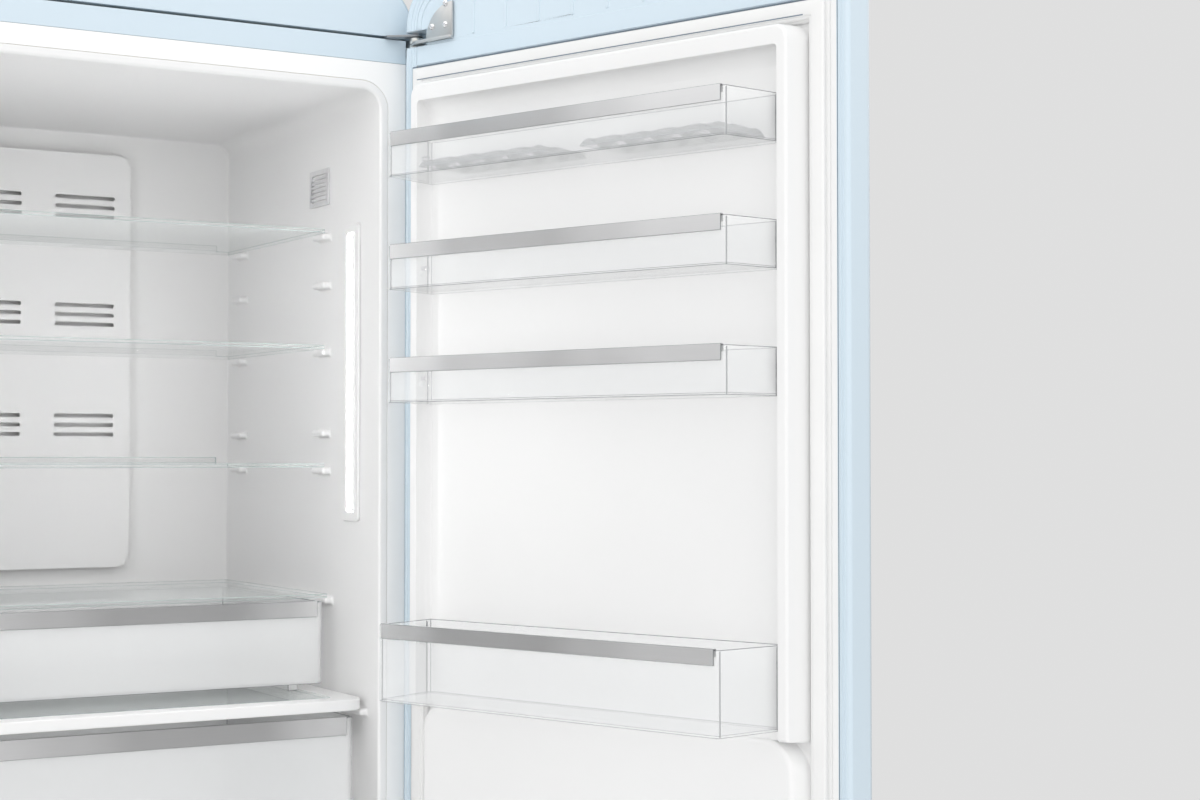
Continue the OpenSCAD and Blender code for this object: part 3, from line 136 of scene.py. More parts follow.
class RefrigeratorColours(bpy.types.PropertyGroup):
    """Colours of the refrigerator's finishes"""

    enamel: colour("Enamel", "Pastel blue of the cabinet and doors", (0.635, 0.745, 0.825))
    liner: colour("Liner", "White of the moulded compartments", (0.87, 0.87, 0.868))
    frame: colour("Front frame", "White enamel of the cabinet's front frame", (0.95, 0.95, 0.945))
    gasket: colour("Gasket", "White of the door seals", (0.84, 0.84, 0.835))
    # Painted shade: a dark colour for strips set where there is only a shadow gap, round the door liners and
    # in the gasket's groove
    seam: colour("Seam", "Blue-grey sealing strip under the top panel", (0.16, 0.21, 0.26))
    clear: colour("Clear plastic", "Tint of the racks and drawers", (0.94, 0.95, 0.955))
    egg_tray: colour("Egg trays", "Tint of the egg trays", (0.40, 0.42, 0.43))
    # Painted shade: the rounded edges of clear mouldings are dark and dense, for the dark lines that light
    # bending through them shows
    clear_edge: colour("Clear edge", "Tint of the rounded edges of clear mouldings", (0.17, 0.18, 0.19))
    glass: colour("Shelf glass", "Tint of the glass shelves", (0.84, 0.90, 0.89))
    glass_edge: colour("Glass edge", "Tint of the ground edges of the shelves", (0.48, 0.60, 0.58))
    trim: colour("Trim", "Satin aluminium of the rack trims", (0.87, 0.87, 0.875))
    # Painted shade: the trims' rounded edges are dark to draw the shaded line along them
    trim_edge: colour("Trim edge", "Darker cut edges of those trims", (0.30, 0.31, 0.32))
    hinge: colour("Hinge", "Satin nickel of the hinge plates", (0.62, 0.62, 0.61))
    # Painted shade and reflection: the arms' plated steel as a darker, bluer copy of the hinge metal, for the
    # shade they sit in and the blue rail they mirror
    hinge_arm: colour("Hinge arm", "Plated steel of the cabinet's hinge arms", (0.34, 0.36, 0.38))
    cast: colour("Cast zinc", "Hinge barrel", (0.80, 0.79, 0.75))
    chrome: colour("Chrome", "Polished handles and screw heads", (0.86, 0.86, 0.87))
    foam: colour("Foam", "Rigid insulation foam", (0.86, 0.77, 0.52))
    black: colour("Black enamel", "Compressor and condenser", (0.028, 0.028, 0.030))
    dark: colour("Dark plastic", "Fan, rollers and base grille", (0.055, 0.056, 0.060))
    grey: colour("Grey plastic", "Ventilation tile", (0.72, 0.72, 0.725))
    zinc: colour("Galvanised steel", "Base frame", (0.42, 0.43, 0.44))
    aluminium: colour("Bare aluminium", "Evaporator fins", (0.72, 0.73, 0.74))


class RefrigeratorSizes(bpy.types.PropertyGroup):
    """Sizes of the softened edges and small fittings"""

    sheet_edge: length("Sheet edge", "Radius on folded sheet metal", 0.9 * MM)
    moulded_edge: length("Moulded edge", "Radius on the liner's outer corners", 4 * MM)
    moulded_fillet: length("Moulded fillet", "Radius in the liner's inner corners", 3 * MM)
    rim_crest: length("Rim crest", "Radius along the crest of a door liner's rim", 4 * MM)
    rim_cove: length("Rim cove", "Radius at the foot of a door liner's rim", 5 * MM)
    clear_edge: length("Clear edge", "Radius on clear mouldings", 0.7 * MM)
    trim_edge: length("Trim edge", "Radius on the satin trims", 0.5 * MM)
    screw_head: length("Screw head", "Radius of a screw's head", 4.4 * MM)


class RefrigeratorStudio(bpy.types.PropertyGroup):
    """Floor, lamps and camera"""

    floor: colour("Floor", "Plain pale floor", (0.80, 0.80, 0.80))
    floor_radius: length("Floor radius", "Radius of the round floor", 5.2)
    front: share("Front light", "Brightness of the room in front", 1.38, 4.0)
    back: share("Back light", "Brightness of the room behind", 0.62, 4.0)
    right_share: share("Right light", "Share of that brightness which comes from the right", 0.60)
    backdrop: share("Backdrop", "Brightness that the camera sees behind the refrigerator", 0.74, 4.0)
    lens_glow: share("Lamp glow", "Strength of the strip lamps' light", 36.0, 100.0)
    lens_mirrored: share("Mirrored glow", "Share of that strength which shiny metal mirrors", 0.012)
    key: bpy.props.FloatProperty(
        name="Key lamp", description="Power of the large soft lamp", subtype="POWER", min=0.0, default=4.0
    )
    camera_place: bpy.props.FloatVectorProperty(
        name="Camera place", description="Where the camera stands", subtype="TRANSLATION", unit="LENGTH",
        size=3, default=(-0.5459, -2.5469, 1.4028)
    )
    camera_turn: bpy.props.FloatVectorProperty(
        name="Camera turn", description="Which way the camera looks", subtype="EULER", unit="ROTATION",
        size=3, default=(math.radians(91.552), 0.0, math.radians(-30.944))
    )
    camera_lens: bpy.props.FloatProperty(
        name="Lens", description="Focal length in millimetres", min=10.0, default=61.89
    )


# ---- node wiring


class Wiring:
    """Adds nodes to one tree; a socket takes a plain value or another node's output."""

    def __init__(self, tree):
        self.tree = tree

    def add(self, kind, sockets=None, **settings):
        made = self.tree.nodes.new(kind)
        for key, value in settings.items():
            setattr(made, key, value)
        for key, value in (sockets or {}).items():
            self.feed(made.inputs[key], value)
        return made

    def feed(self, socket, value):
        if isinstance(value, bpy.types.NodeSocket):
            self.tree.links.new(value, socket)
        else:
            socket.default_value = value

    def math(self, operation, first, second=0.0, third=0.0):
        return self.add("ShaderNodeMath", {0: first, 1: second, 2: third}, operation=operation).outputs[0]

    def remap(self, value, low, high, to_low, to_high, **settings):
        made = self.add(
            "ShaderNodeMapRange",
            {"Value": value, "From Min": low, "From Max": high, "To Min": to_low, "To Max": to_high},
            **settings,
        )
        return made.outputs["Result"]

    def place(self):
        return self.add("ShaderNodeTexCoord").outputs["Object"]

    def noise(self, place, scale, detail, rough=0.5):
        sockets = {"Vector": place, "Scale": scale, "Detail": detail, "Roughness": rough}
        return self.add("ShaderNodeTexNoise", sockets).outputs["Fac"]


FLOAT, COLOUR = "NodeSocketFloat", "NodeSocketColor"
WHITE = (1.0, 1.0, 1.0, 1.0)
EFFECT_INPUTS = (
    ("Colour", COLOUR, WHITE), ("Colour Change", FLOAT, 0.02), ("Roughness", FLOAT, 0.4),
    ("Gloss Change", FLOAT, 0.05),
)
EFFECT_OUTPUTS = (("Colour", COLOUR), ("Roughness", FLOAT), ("Height", FLOAT))
# Where most of a noise texture's values lie
NOISE_RANGE = (0.3, 0.7)


def effect_group(name, settings):
    """A shader node group with the shared sockets and settings of its own, and its wiring."""
    tree = bpy.data.node_groups.new(name, "ShaderNodeTree")
    own = tuple((label, FLOAT, default) for label, default in settings.items())
    for label, kind, default in EFFECT_INPUTS + own:
        tree.interface.new_socket(label, in_out="INPUT", socket_type=kind).default_value = default
    for label, kind in EFFECT_OUTPUTS:
        tree.interface.new_socket(label, in_out="OUTPUT", socket_type=kind)
    wiring = Wiring(tree)
    given = wiring.add("NodeGroupInput").outputs
    return tree, wiring, given, wiring.add("NodeGroupOutput").inputs


def shaded(wiring, given, out, colour_swing, gloss_swing, height, level=1.0):
    """Turns swings of colour and gloss into a group's three outputs."""
    value = wiring.math("MULTIPLY_ADD", colour_swing, given["Colour Change"], level)
    tint = wiring.add("ShaderNodeHueSaturation", {"Value": value, "Color": given["Colour"]})
    rough = wiring.math("MULTIPLY_ADD", gloss_swing, given["Gloss Change"], given["Roughness"])
    wiring.feed(out["Colour"], tint.outputs["Color"])
    wiring.feed(out["Roughness"], rough)
    wiring.feed(out["Height"], height)


def surface_life(name):
    """Faint cloudy colour and gloss changes, and a fine moulded or sprayed skin."""
    scales = {"Cloud Scale": 3.0, "Smear Scale": 6.0, "Skin Scale": 500.0}
    tree, wiring, given, out = effect_group(name, scales)
    place = wiring.place()
    cloud, smear, skin = (
        wiring.noise(place, given[label], detail) for label, detail in zip(scales, (3.0, 2.0, 2.0))
    )
    swing = wiring.remap(cloud, *NOISE_RANGE, -1.0, 1.0)
    gloss = wiring.remap(smear, *NOISE_RANGE, 0.0, 1.0)
    shaded(wiring, given, out, swing, gloss, skin)
    return tree


# Painted reflection: brightness painted along a trim, from its start to its end
BANDS = ((0.0, 0.98), (0.10, 0.84), (0.22, 0.62), (0.50, 0.66), (0.66, 0.84), (0.84, 1.0), (1.0, 1.0))


def brushed_lines(name):
    """Fine straight scratches, and soft light and dark bands of painted reflection along a strip's length."""
    tree, wiring, given, out = effect_group(name, {
        "Across X": 4.0, "Across Y": 4.0, "Across Z": 1800.0,
        "Band X": 0.0, "Band Y": 0.0, "Band Start": 0.0, "Band Depth": 0.0,
    })
    place = wiring.place()
    part = wiring.add("ShaderNodeSeparateXYZ", {0: place})
    # Painted reflection: a place along the strip picks a brightness from the bands, which scales the colour
    travel = wiring.math("MULTIPLY_ADD", part.outputs["X"], given["Band X"], given["Band Start"])
    travel = wiring.math("MULTIPLY_ADD", part.outputs["Y"], given["Band Y"], travel)
    ramp = wiring.add("ShaderNodeValToRGB", {"Fac": travel})
    stops = ramp.color_ramp.elements
    for stop, _ in BANDS[1:-1]:
        stops.new(stop)
    for element, (stop, level) in zip(stops, BANDS):
        element.position = stop
        element.color = (level, level, level, 1.0)
    ramp.color_ramp.interpolation = "EASE"
    band = wiring.math("SUBTRACT", ramp.outputs["Color"], 1.0)
    band = wiring.math("MULTIPLY_ADD", band, given["Band Depth"], 1.0)
    stretch = wiring.add("ShaderNodeCombineXYZ", {axis: given[f"Across {axis}"] for axis in "XYZ"})
    along = wiring.add("ShaderNodeVectorMath", {0: place, 1: stretch.outputs[0]}, operation="MULTIPLY")
    lines = wiring.noise(along.outputs[0], 1.0, 6.0, 0.7)
    shaded(wiring, given, out, wiring.remap(lines, *NOISE_RANGE, -1.0, 1.0), lines, lines, band)
    return tree


def cell_foam(name):
    """Open and closed cells of cut rigid foam."""
    tree, wiring, given, out = effect_group(name, {"Cell Scale": 600.0})
    cells = wiring.add("ShaderNodeTexVoronoi", {"Vector": wiring.place(), "Scale": given["Cell Scale"]})
    cells = cells.outputs["Distance"]
    shaded(wiring, given, out, wiring.remap(cells, 0.0, 0.7, 1.0, -1.0), cells, cells)
    return tree


def shared(maker):
    """The node group that a function makes, built the first time it is asked for."""
    name = maker.__name__.replace("_", " ").title()
    return bpy.data.node_groups.get(name) or maker(name)


# ---- materials

MATERIALS = {}
# Share of a clear plastic's cover that shadows and soft light meet
CLEAR_SHADOW = 0.08
# Layer Weight's Facing from which a clear plastic gets denser, and that node's blend
DENSER_FROM = 0.35
# The strip lamps' bright band: shares of the lens's half width where it starts to fade and has faded
BAND_FADES = (0.42, 0.56)
# Brightness left beside the band
BAND_OUTSIDE = 0.004


def lively(name, tone, rough, swings, relief=(0.5, 0.02), effect=surface_life, **settings):
    """A material made with a shared group. The pairs: swings of colour and gloss; relief and its depth."""
    made = bpy.data.materials.new(name)
    MATERIALS[name] = made
    made.use_nodes = True
    made.node_tree.nodes.clear()
    wiring = Wiring(made.node_tree)
    shader = wiring.add("ShaderNodeBsdfPrincipled")
    output = wiring.add("ShaderNodeOutputMaterial")
    wiring.feed(output.inputs["Surface"], shader.outputs["BSDF"])
    skin = wiring.add("ShaderNodeGroup", node_tree=shared(effect))
    skin.inputs["Colour"].default_value = (*tone, 1.0)
    skin.inputs["Roughness"].default_value = rough
    skin.inputs["Colour Change"].default_value, skin.inputs["Gloss Change"].default_value = swings
    for label, value in settings.items():
        label = label.replace("_", " ").title()
        (skin if label in skin.inputs else shader).inputs[label].default_value = value
    wiring.feed(shader.inputs["Base Color"], skin.outputs["Colour"])
    wiring.feed(shader.inputs["Roughness"], skin.outputs["Roughness"])
    if relief:
        sockets = {"Height": skin.outputs["Height"], "Strength": relief[0], "Distance": relief[1] * MM}
        wiring.feed(shader.inputs["Normal"], wiring.add("ShaderNodeBump", sockets).outputs["Normal"])
    return wiring, shader


def clear_material(name, tone, rough, least, most):
    """A see-through moulding: faint face on, denser seen along its surface, and almost without shadow."""
    wiring, shader = lively(name, tone, rough, (0.01, 0.03), None)
    facing = wiring.add("ShaderNodeLayerWeight", {"Blend": DENSER_FROM}).outputs["Facing"]
    dense = wiring.remap(facing, DENSER_FROM, 1.0, least, most)
    path = wiring.add("ShaderNodeLightPath").outputs
    lighting = wiring.math("MAXIMUM", path["Is Shadow Ray"], path["Is Diffuse Ray"])
    shown = wiring.math("MULTIPLY_ADD", lighting, CLEAR_SHADOW - 1.0, 1.0)
    wiring.feed(shader.inputs["Alpha"], wiring.math("MULTIPLY", dense, shown))


def lamp_material(studio):
    """The strip lamps' lens: a bright band down its middle, which metal mirrors only faintly."""
    wiring, shader = lively("Lamp Lens", (0.9, 0.9, 0.9), 0.4, (0.01, 0.05))
    shader.inputs["Emission Strength"].default_value = studio.lens_glow
    depths = [vertex.co.y for vertex in frame["nodes"]["led_lenses"].data.vertices]
    middle, half = (max(depths) + min(depths)) / 2, (max(depths) - min(depths)) / 2
    place = wiring.add("ShaderNodeSeparateXYZ", {0: wiring.place()})
    aside = wiring.math("ABSOLUTE", wiring.math("SUBTRACT", place.outputs["Y"], middle))
    strip = wiring.remap(aside, *(fade * half for fade in BAND_FADES), 1.0, BAND_OUTSIDE)
    mirrored = wiring.add("ShaderNodeLightPath").outputs["Is Glossy Ray"]
    shown = wiring.math("MULTIPLY_ADD", mirrored, studio.lens_mirrored - 1.0, 1.0)
    wiring.feed(shader.inputs["Emission Color"], wiring.math("MULTIPLY", strip, shown))


def make_materials(colours, studio):
    """Builds every finish from the colours in the panel; the depth of a relief is in millimetres."""
    lively("Blue Enamel", colours.enamel, 0.22, (0.008, 0.03), (0.35, 0.012), cloud_scale=1.4,
           skin_scale=260.0, coat_weight=0.4, coat_roughness=0.10)
    lively("White Enamel", colours.frame, 0.28, (0.008, 0.05), (0.35, 0.012), skin_scale=260.0,
           coat_weight=0.3, coat_roughness=0.1)
    lively("White Liner", colours.liner, 0.32, (0.010, 0.06), (0.4, 0.02), skin_scale=220.0)
    lively("Gasket", colours.gasket, 0.50, (0.015, 0.1), (0.5, 0.04), cloud_scale=9.0, skin_scale=900.0)
    # Painted shadow: the dark finish of the strips that stand for shadow gaps
    lively("Seam Strip", colours.seam, 0.5, (0.08, 0.05), cloud_scale=30.0)
    # Painted shade on the trims' rounded edges
    lively("Trim Edge", colours.trim_edge, 0.34, (0.05, 0.1), (0.2, 0.01), cloud_scale=60.0, metallic=1.0)
    # The painted reflection bands on the strips run from one end to the other, this many millimetres from the
    # middle
    for name, place, half in (("Satin Trim", door_matrix("fridge"), 261), ("Drawer Trim", CABINET, 280)):
        start, end = (place @ Vector((side * half, 0, 0)) for side in (1, -1))
        along = (end - start) / (end - start).length_squared
        lively(name, colours.trim, 0.26, (0.012, 0.05), (0.15, 0.01), brushed_lines, band_x=along.x,
               band_y=along.y, band_start=-along.dot(start), band_depth=1.0, metallic=1.0)
    lively("Hinge Nickel", colours.hinge, 0.30, (0.03, 0.1), (0.5, 0.03), cloud_scale=30.0,
           skin_scale=1500.0, metallic=1.0)
    # A darker, bluer copy of the hinge metal: painted shade and painted reflection of the blue rail
    lively("Hinge Steel", colours.hinge_arm, 0.34, (0.04, 0.1), (0.5, 0.03), cloud_scale=40.0,
           skin_scale=1500.0, metallic=1.0)
    lively("Cast Zinc", colours.cast, 0.30, (0.08, 0.2), (0.8, 0.25), cloud_scale=160.0, smear_scale=200.0,
           skin_scale=420.0, metallic=1.0)
    lively("Polished Chrome", colours.chrome, 0.05, (0.01, 0.04), (0.1, 0.01), cloud_scale=12.0, metallic=1.0)
    lively("Insulation Foam", colours.foam, 0.85, (0.10, 0.05), (0.8, 0.6), cell_foam)
    lively("Black Enamel", colours.black, 0.38, (0.25, 0.15), (0.6, 0.05), cloud_scale=14.0, skin_scale=800.0)
    lively("Dark Plastic", colours.dark, 0.55, (0.1, 0.1), (0.7, 0.05), cloud_scale=18.0, skin_scale=1100.0)
    lively("Grey Plastic", colours.grey, 0.5, (0.04, 0.05), (0.6, 0.05), cloud_scale=40.0, skin_scale=1100.0)
    lively("Galvanised Steel", colours.zinc, 0.42, (0.14, 0.18), (0.4, 0.03), cloud_scale=60.0,
           smear_scale=40.0, skin_scale=300.0, metallic=0.9)
    lively("Bare Aluminium", colours.aluminium, 0.35, (0.06, 0.05), (0.3, 0.02), brushed_lines, metallic=1.0)
    for finish in (
        # Name, colour, roughness, cover seen face on and seen along the surface
        ("Clear Plastic", colours.clear, 0.06, 0.24, 0.60),
        # Painted shade: dark, dense edges that draw the lines clear plastic shows along its edges
        ("Clear Edge", colours.clear_edge, 0.12, 0.70, 0.92),
        ("Drawer Plastic", colours.clear, 0.08, 0.46, 0.85),
        ("Egg Tray Plastic", colours.egg_tray, 0.10, 0.10, 0.92),
        ("Shelf Glass", colours.glass, 0.03, 0.06, 0.55),
        ("Glass Edge", colours.glass_edge, 0.25, 0.55, 0.90),
    ):
        clear_material(*finish)
    lamp_material(studio)


# ---- mesh helpers


def paint(obj, *material_names):
    """Puts one finish in every material slot of an object, or a list of them in new slots."""
    if obj.material_slots and len(material_names) == 1:
        for slot in obj.material_slots:
            slot.link = "OBJECT"
            slot.material = MATERIALS[material_names[0]]
        return
    for name in material_names:
        obj.data.materials.append(MATERIALS[name])


def linked(name, data):
    """A new object in the scene."""
    made = bpy.data.objects.new(name, data)
    bpy.context.scene.collection.objects.link(made)
    return made


def new_piece(name, work):
    """An object made from finished bmesh geometry, smooth except along its sharp edges."""
    mesh = bpy.data.meshes.new(name)
    bmesh.ops.recalc_face_normals(work, faces=work.faces)
    for face in work.faces:
        face.smooth = True
    work.to_mesh(mesh)
    work.free()
    mesh.set_sharp_from_angle(angle=SMOOTH_ANGLE)
    return linked(name, mesh)


def even_shading(piece):
    """Shades wide faces flat and lets the small rounded ones carry the turn."""
    weighted = piece.modifiers.new("Even Shading", "WEIGHTED_NORMAL")
    weighted.weight = 60
    weighted.keep_sharp = True
    return piece


def face_width(face, edge):
    """How far a face runs square to one of its edges, measured from the edge's middle."""
    middle = (edge.verts[0].co + edge.verts[1].co) / 2
    along = (edge.verts[1].co - edge.verts[0].co).normalized()
    inward = face.normal.cross(along)
    if inward.dot(face.calc_center_median() - middle) < 0:
        inward = -inward
    widest = 0.0
    nearest = None
    for other in face.edges:
        if other is edge:
            continue
        first, second = (vert.co - middle for vert in other.verts)
        side_a, side_b = first.dot(along), second.dot(along)
        widest = max(widest, first.dot(inward), second.dot(inward))
        if side_a * side_b > 0 or abs(side_a - side_b) < WELD:
            continue
        reach = (first + (second - first) * side_a / (side_a - side_b)).dot(inward)
        if reach > WELD and (nearest is None or reach < nearest):
            nearest = reach
    return nearest if nearest is not None else widest


def softened(node_name, convex, concave, steps, edge_slot):
    """A copy of one rigid part with rounded edges, to be shown in its place."""
    work = bmesh.new()
    work.from_mesh(frame["nodes"][node_name].data)
    bmesh.ops.remove_doubles(work, verts=work.verts, dist=WELD)
    bmesh.ops.dissolve_limit(work, angle_limit=FLAT_ANGLE, verts=work.verts, edges=work.edges)
    work.normal_update()
    weights = work.edges.layers.float.new("bevel_weight_edge")
    most = max(convex, concave)
    for edge in work.edges:
        if len(edge.link_faces) != 2 or edge.calc_face_angle(0.0) < SHARP_ANGLE:
            continue
        room = min(face_width(face, edge) for face in edge.link_faces)
        edge[weights] = min(convex if edge.is_convex else concave, ROUNDED_SHARE * room) / most
    hollow = [face for face in work.faces if not all(loop.is_convex for loop in face.loops)]
    bmesh.ops.triangulate(work, faces=hollow)
    for face in work.faces:
        face.smooth = True
        face.material_index = 0
    mesh = bpy.data.meshes.new(f"{node_name}_soft")
    work.to_mesh(mesh)
    work.free()
    piece = linked(f"{node_name}_soft", mesh)
    bevel = piece.modifiers.new("Rounded Edges", "BEVEL")
    bevel.limit_method = "WEIGHT"
    bevel.width = most
    bevel.segments = steps
    bevel.use_clamp_overlap = False
    bevel.material = edge_slot
    return even_shading(piece)


def show(piece, finishes, body, slot_name, *nodes):
    """Finishes a piece, sets it on its body and, where it stands for rigid parts, hides them."""
    paint(piece, *([finishes] if isinstance(finishes, str) else finishes))
    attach(piece, body)
    if nodes:
        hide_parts(*nodes)


def show_for(piece, finishes, node_name):
    """Shows a piece instead of one rigid part, on that part's body."""
    node = frame["nodes"][node_name]
    show(piece, finishes, node["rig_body"], node.data.materials[0].name, node_name)


def soften(names, finishes, convex, concave=0.0, steps=3):
    """Shows rigid parts with rounded edges and their finish, or with a second finish on those edges."""
    edge_slot = -1 if isinstance(finishes, str) else 1
    for name in names:
        show_for(softened(name, convex, concave, steps, edge_slot), finishes, name)


def outline(depth, half, low, high, above, below, turns=8):
    """Points of a front-view outline at one depth, with its own corner radii above and below."""
    points = []
    for side, level, radius, start in (
        (1, low + below, below, -90), (1, high - above, above, 0), (-1, high - above, above, 90),
        (-1, low + below, below, 180),
    ):
        for step in range(turns + 1):
            angle = math.radians(start + 90 * step / turns)
            points.append((
                side * (half - radius) + radius * math.cos(angle), depth, level + radius * math.sin(angle)
            ))
    return points


def rounded(points, radii, steps=5):
    """An open line through 2-D points whose inner corners are rounded."""
    line = [Vector(points[0])]
    for before, corner, after, radius in zip(points, points[1:], points[2:], radii):
        before, corner, after = Vector(before), Vector(corner), Vector(after)
        into, out = (before - corner).normalized(), (after - corner).normalized()
        half = into.angle(out) / 2
        back = radius / math.tan(half)
        centre = corner + (into + out).normalized() * radius / math.sin(half)
        first, last = corner + into * back - centre, corner + out * back - centre
        for step in range(steps + 1):
            blend = first.lerp(last, step / steps)
            line.append(centre + blend.normalized() * radius)
    line.append(Vector(points[-1]))
    return line


def loft(work, rings, matrix, wrapped=False):
    """Joins rings of points into one surface, capped at both ends or wrapped onto itself."""
    loops = [[work.verts.new(matrix @ Vector(point)) for point in ring] for ring in rings]
    follow = loops[1:] + loops[:1] if wrapped else loops[1:]
    for near, far in zip(loops, follow):
        for index in range(len(near)):
            after = (index + 1) % len(near)
            work.faces.new((near[index], near[after], far[after], far[index]))
    if not wrapped:
        work.faces.new(loops[0])
        work.faces.new(loops[-1])


def lofted(name, matrix, *surfaces, wrapped=False):
    """A piece made of lofts, each given by its rings."""
    work = bmesh.new()
    for rings in surfaces:
        loft(work, rings, matrix, wrapped)
    return new_piece(name, work)


def circle(radius, height, turns):
    """Points round the z axis."""
    angles = (2 * math.pi * turn / turns for turn in range(turns))
    return [(radius * math.cos(angle), radius * math.sin(angle), height) for angle in angles]


def revolve(work, matrix, profile, turns=32):
    """Turns a line of (radius, height) points about the z axis and caps both ends."""
    loft(work, [circle(radius, height, turns) for radius, height in profile], matrix)


def raised_panel(work, matrix, low, high, above, below, face, drafts, cove, crest):
    """A block standing off a door liner: coved foot, drafted sides and ends, and a rounded crest."""
    skirt = 2 * cove
    side, end = (
        rounded(
            [(-skirt, DOOR_FACE), (0, DOOR_FACE), (draft, face), (draft + 2 * crest, face)], [cove, crest]
        ) for draft in drafts
    )
    rings = [outline(LINER_BACK, PANEL_HALF + skirt, low - skirt, high + skirt, above + skirt, below + skirt)]
    for across, along in zip(side, end):
        inset_x, inset_z = across[0], along[0]
        least = max(inset_x, inset_z)
        rings.append(outline(across[1], PANEL_HALF - inset_x, low + inset_z, high - inset_z,
                             max(above - least, LEAST_CORNER), max(below - least, LEAST_CORNER)))
    loft(work, rings, matrix)


def combined(base, operation, *tools):
    """Merges or cuts whole pieces with each other and keeps only the result."""
    for tool in tools:
        step = base.modifiers.new(operation.title(), "BOOLEAN")
        step.operation = operation
        step.solver = "EXACT"
        step.object = tool
    bpy.context.view_layer.update()
    shaped = bpy.data.meshes.new_from_object(base.evaluated_get(bpy.context.evaluated_depsgraph_get()))
    base.modifiers.clear()
    base.data = shaped
    shaped.set_sharp_from_angle(angle=SMOOTH_ANGLE)
    for polygon in shaped.polygons:
        polygon.use_smooth = polygon.area < WIDE_FACE
    for tool in tools:
        bpy.data.objects.remove(tool)


# ---- operators


class RefrigeratorOperator:
    """What the refrigerator's operators share."""

    bl_options = {"REGISTER", "UNDO"}


class REFRIGERATOR_OT_finishes(RefrigeratorOperator, bpy.types.Operator):
    """Builds the finishes and gives the parts that are shown as they are their own"""

    bl_idname = "refrigerator.finishes"
    bl_label = "Finishes"

    plan = {
        "Blue Enamel": ("back_panel", "plinth_grille"),
        "White Liner": ("air_duct", "freezer_rear_cover"),
        "Insulation Foam": ("cabinet_foam", "fridge_door_foam", "freezer_door_foam"),
        "Galvanised Steel": ("base_frame", "machine_cover"),
        "Black Enamel": ("compressor", "condenser_coil"),
        "Dark Plastic": ("fan_rotor", "left_roller", "right_roller", "left_foot", "right_foot"),
        "Bare Aluminium": ("evaporator",),
    }

    def execute(self, context):
        make_materials(context.scene.refrigerator_colours, context.scene.refrigerator_studio)
        for material_name, names in self.plan.items():
            for name in names:
                paint(frame["nodes"][name], material_name)
        return {"FINISHED"}


class REFRIGERATOR_OT_sheet_metal(RefrigeratorOperator, bpy.types.Operator):
    """Rounds the folds of the cabinet's and doors' sheet metal"""

    bl_idname = "refrigerator.sheet_metal"
    bl_label = "Sheet Metal"

    blue = (
        "cabinet_wrap", "hood_fascia", "top_rail", "fridge_door_skin", "freezer_door_skin",
        "fridge_door_top_panel",
    )

    def execute(self, context):
        edge = context.scene.refrigerator_sizes.sheet_edge
        soften(self.blue, "Blue Enamel", edge, edge)
        soften(["front_frame"], "White Enamel", edge, edge)
        return {"FINISHED"}


class REFRIGERATOR_OT_cabinet_liners(RefrigeratorOperator, bpy.types.Operator):
    """Rounds the moulded liners of the two compartments"""

    bl_idname = "refrigerator.cabinet_liners"
    bl_label = "Cabinet Liners"

    def execute(self, context):
        sizes = context.scene.refrigerator_sizes
        soften(["fridge_liner", "freezer_liner"], "White Liner", sizes.moulded_edge, sizes.moulded_fillet,
               steps=4)
        return {"FINISHED"}


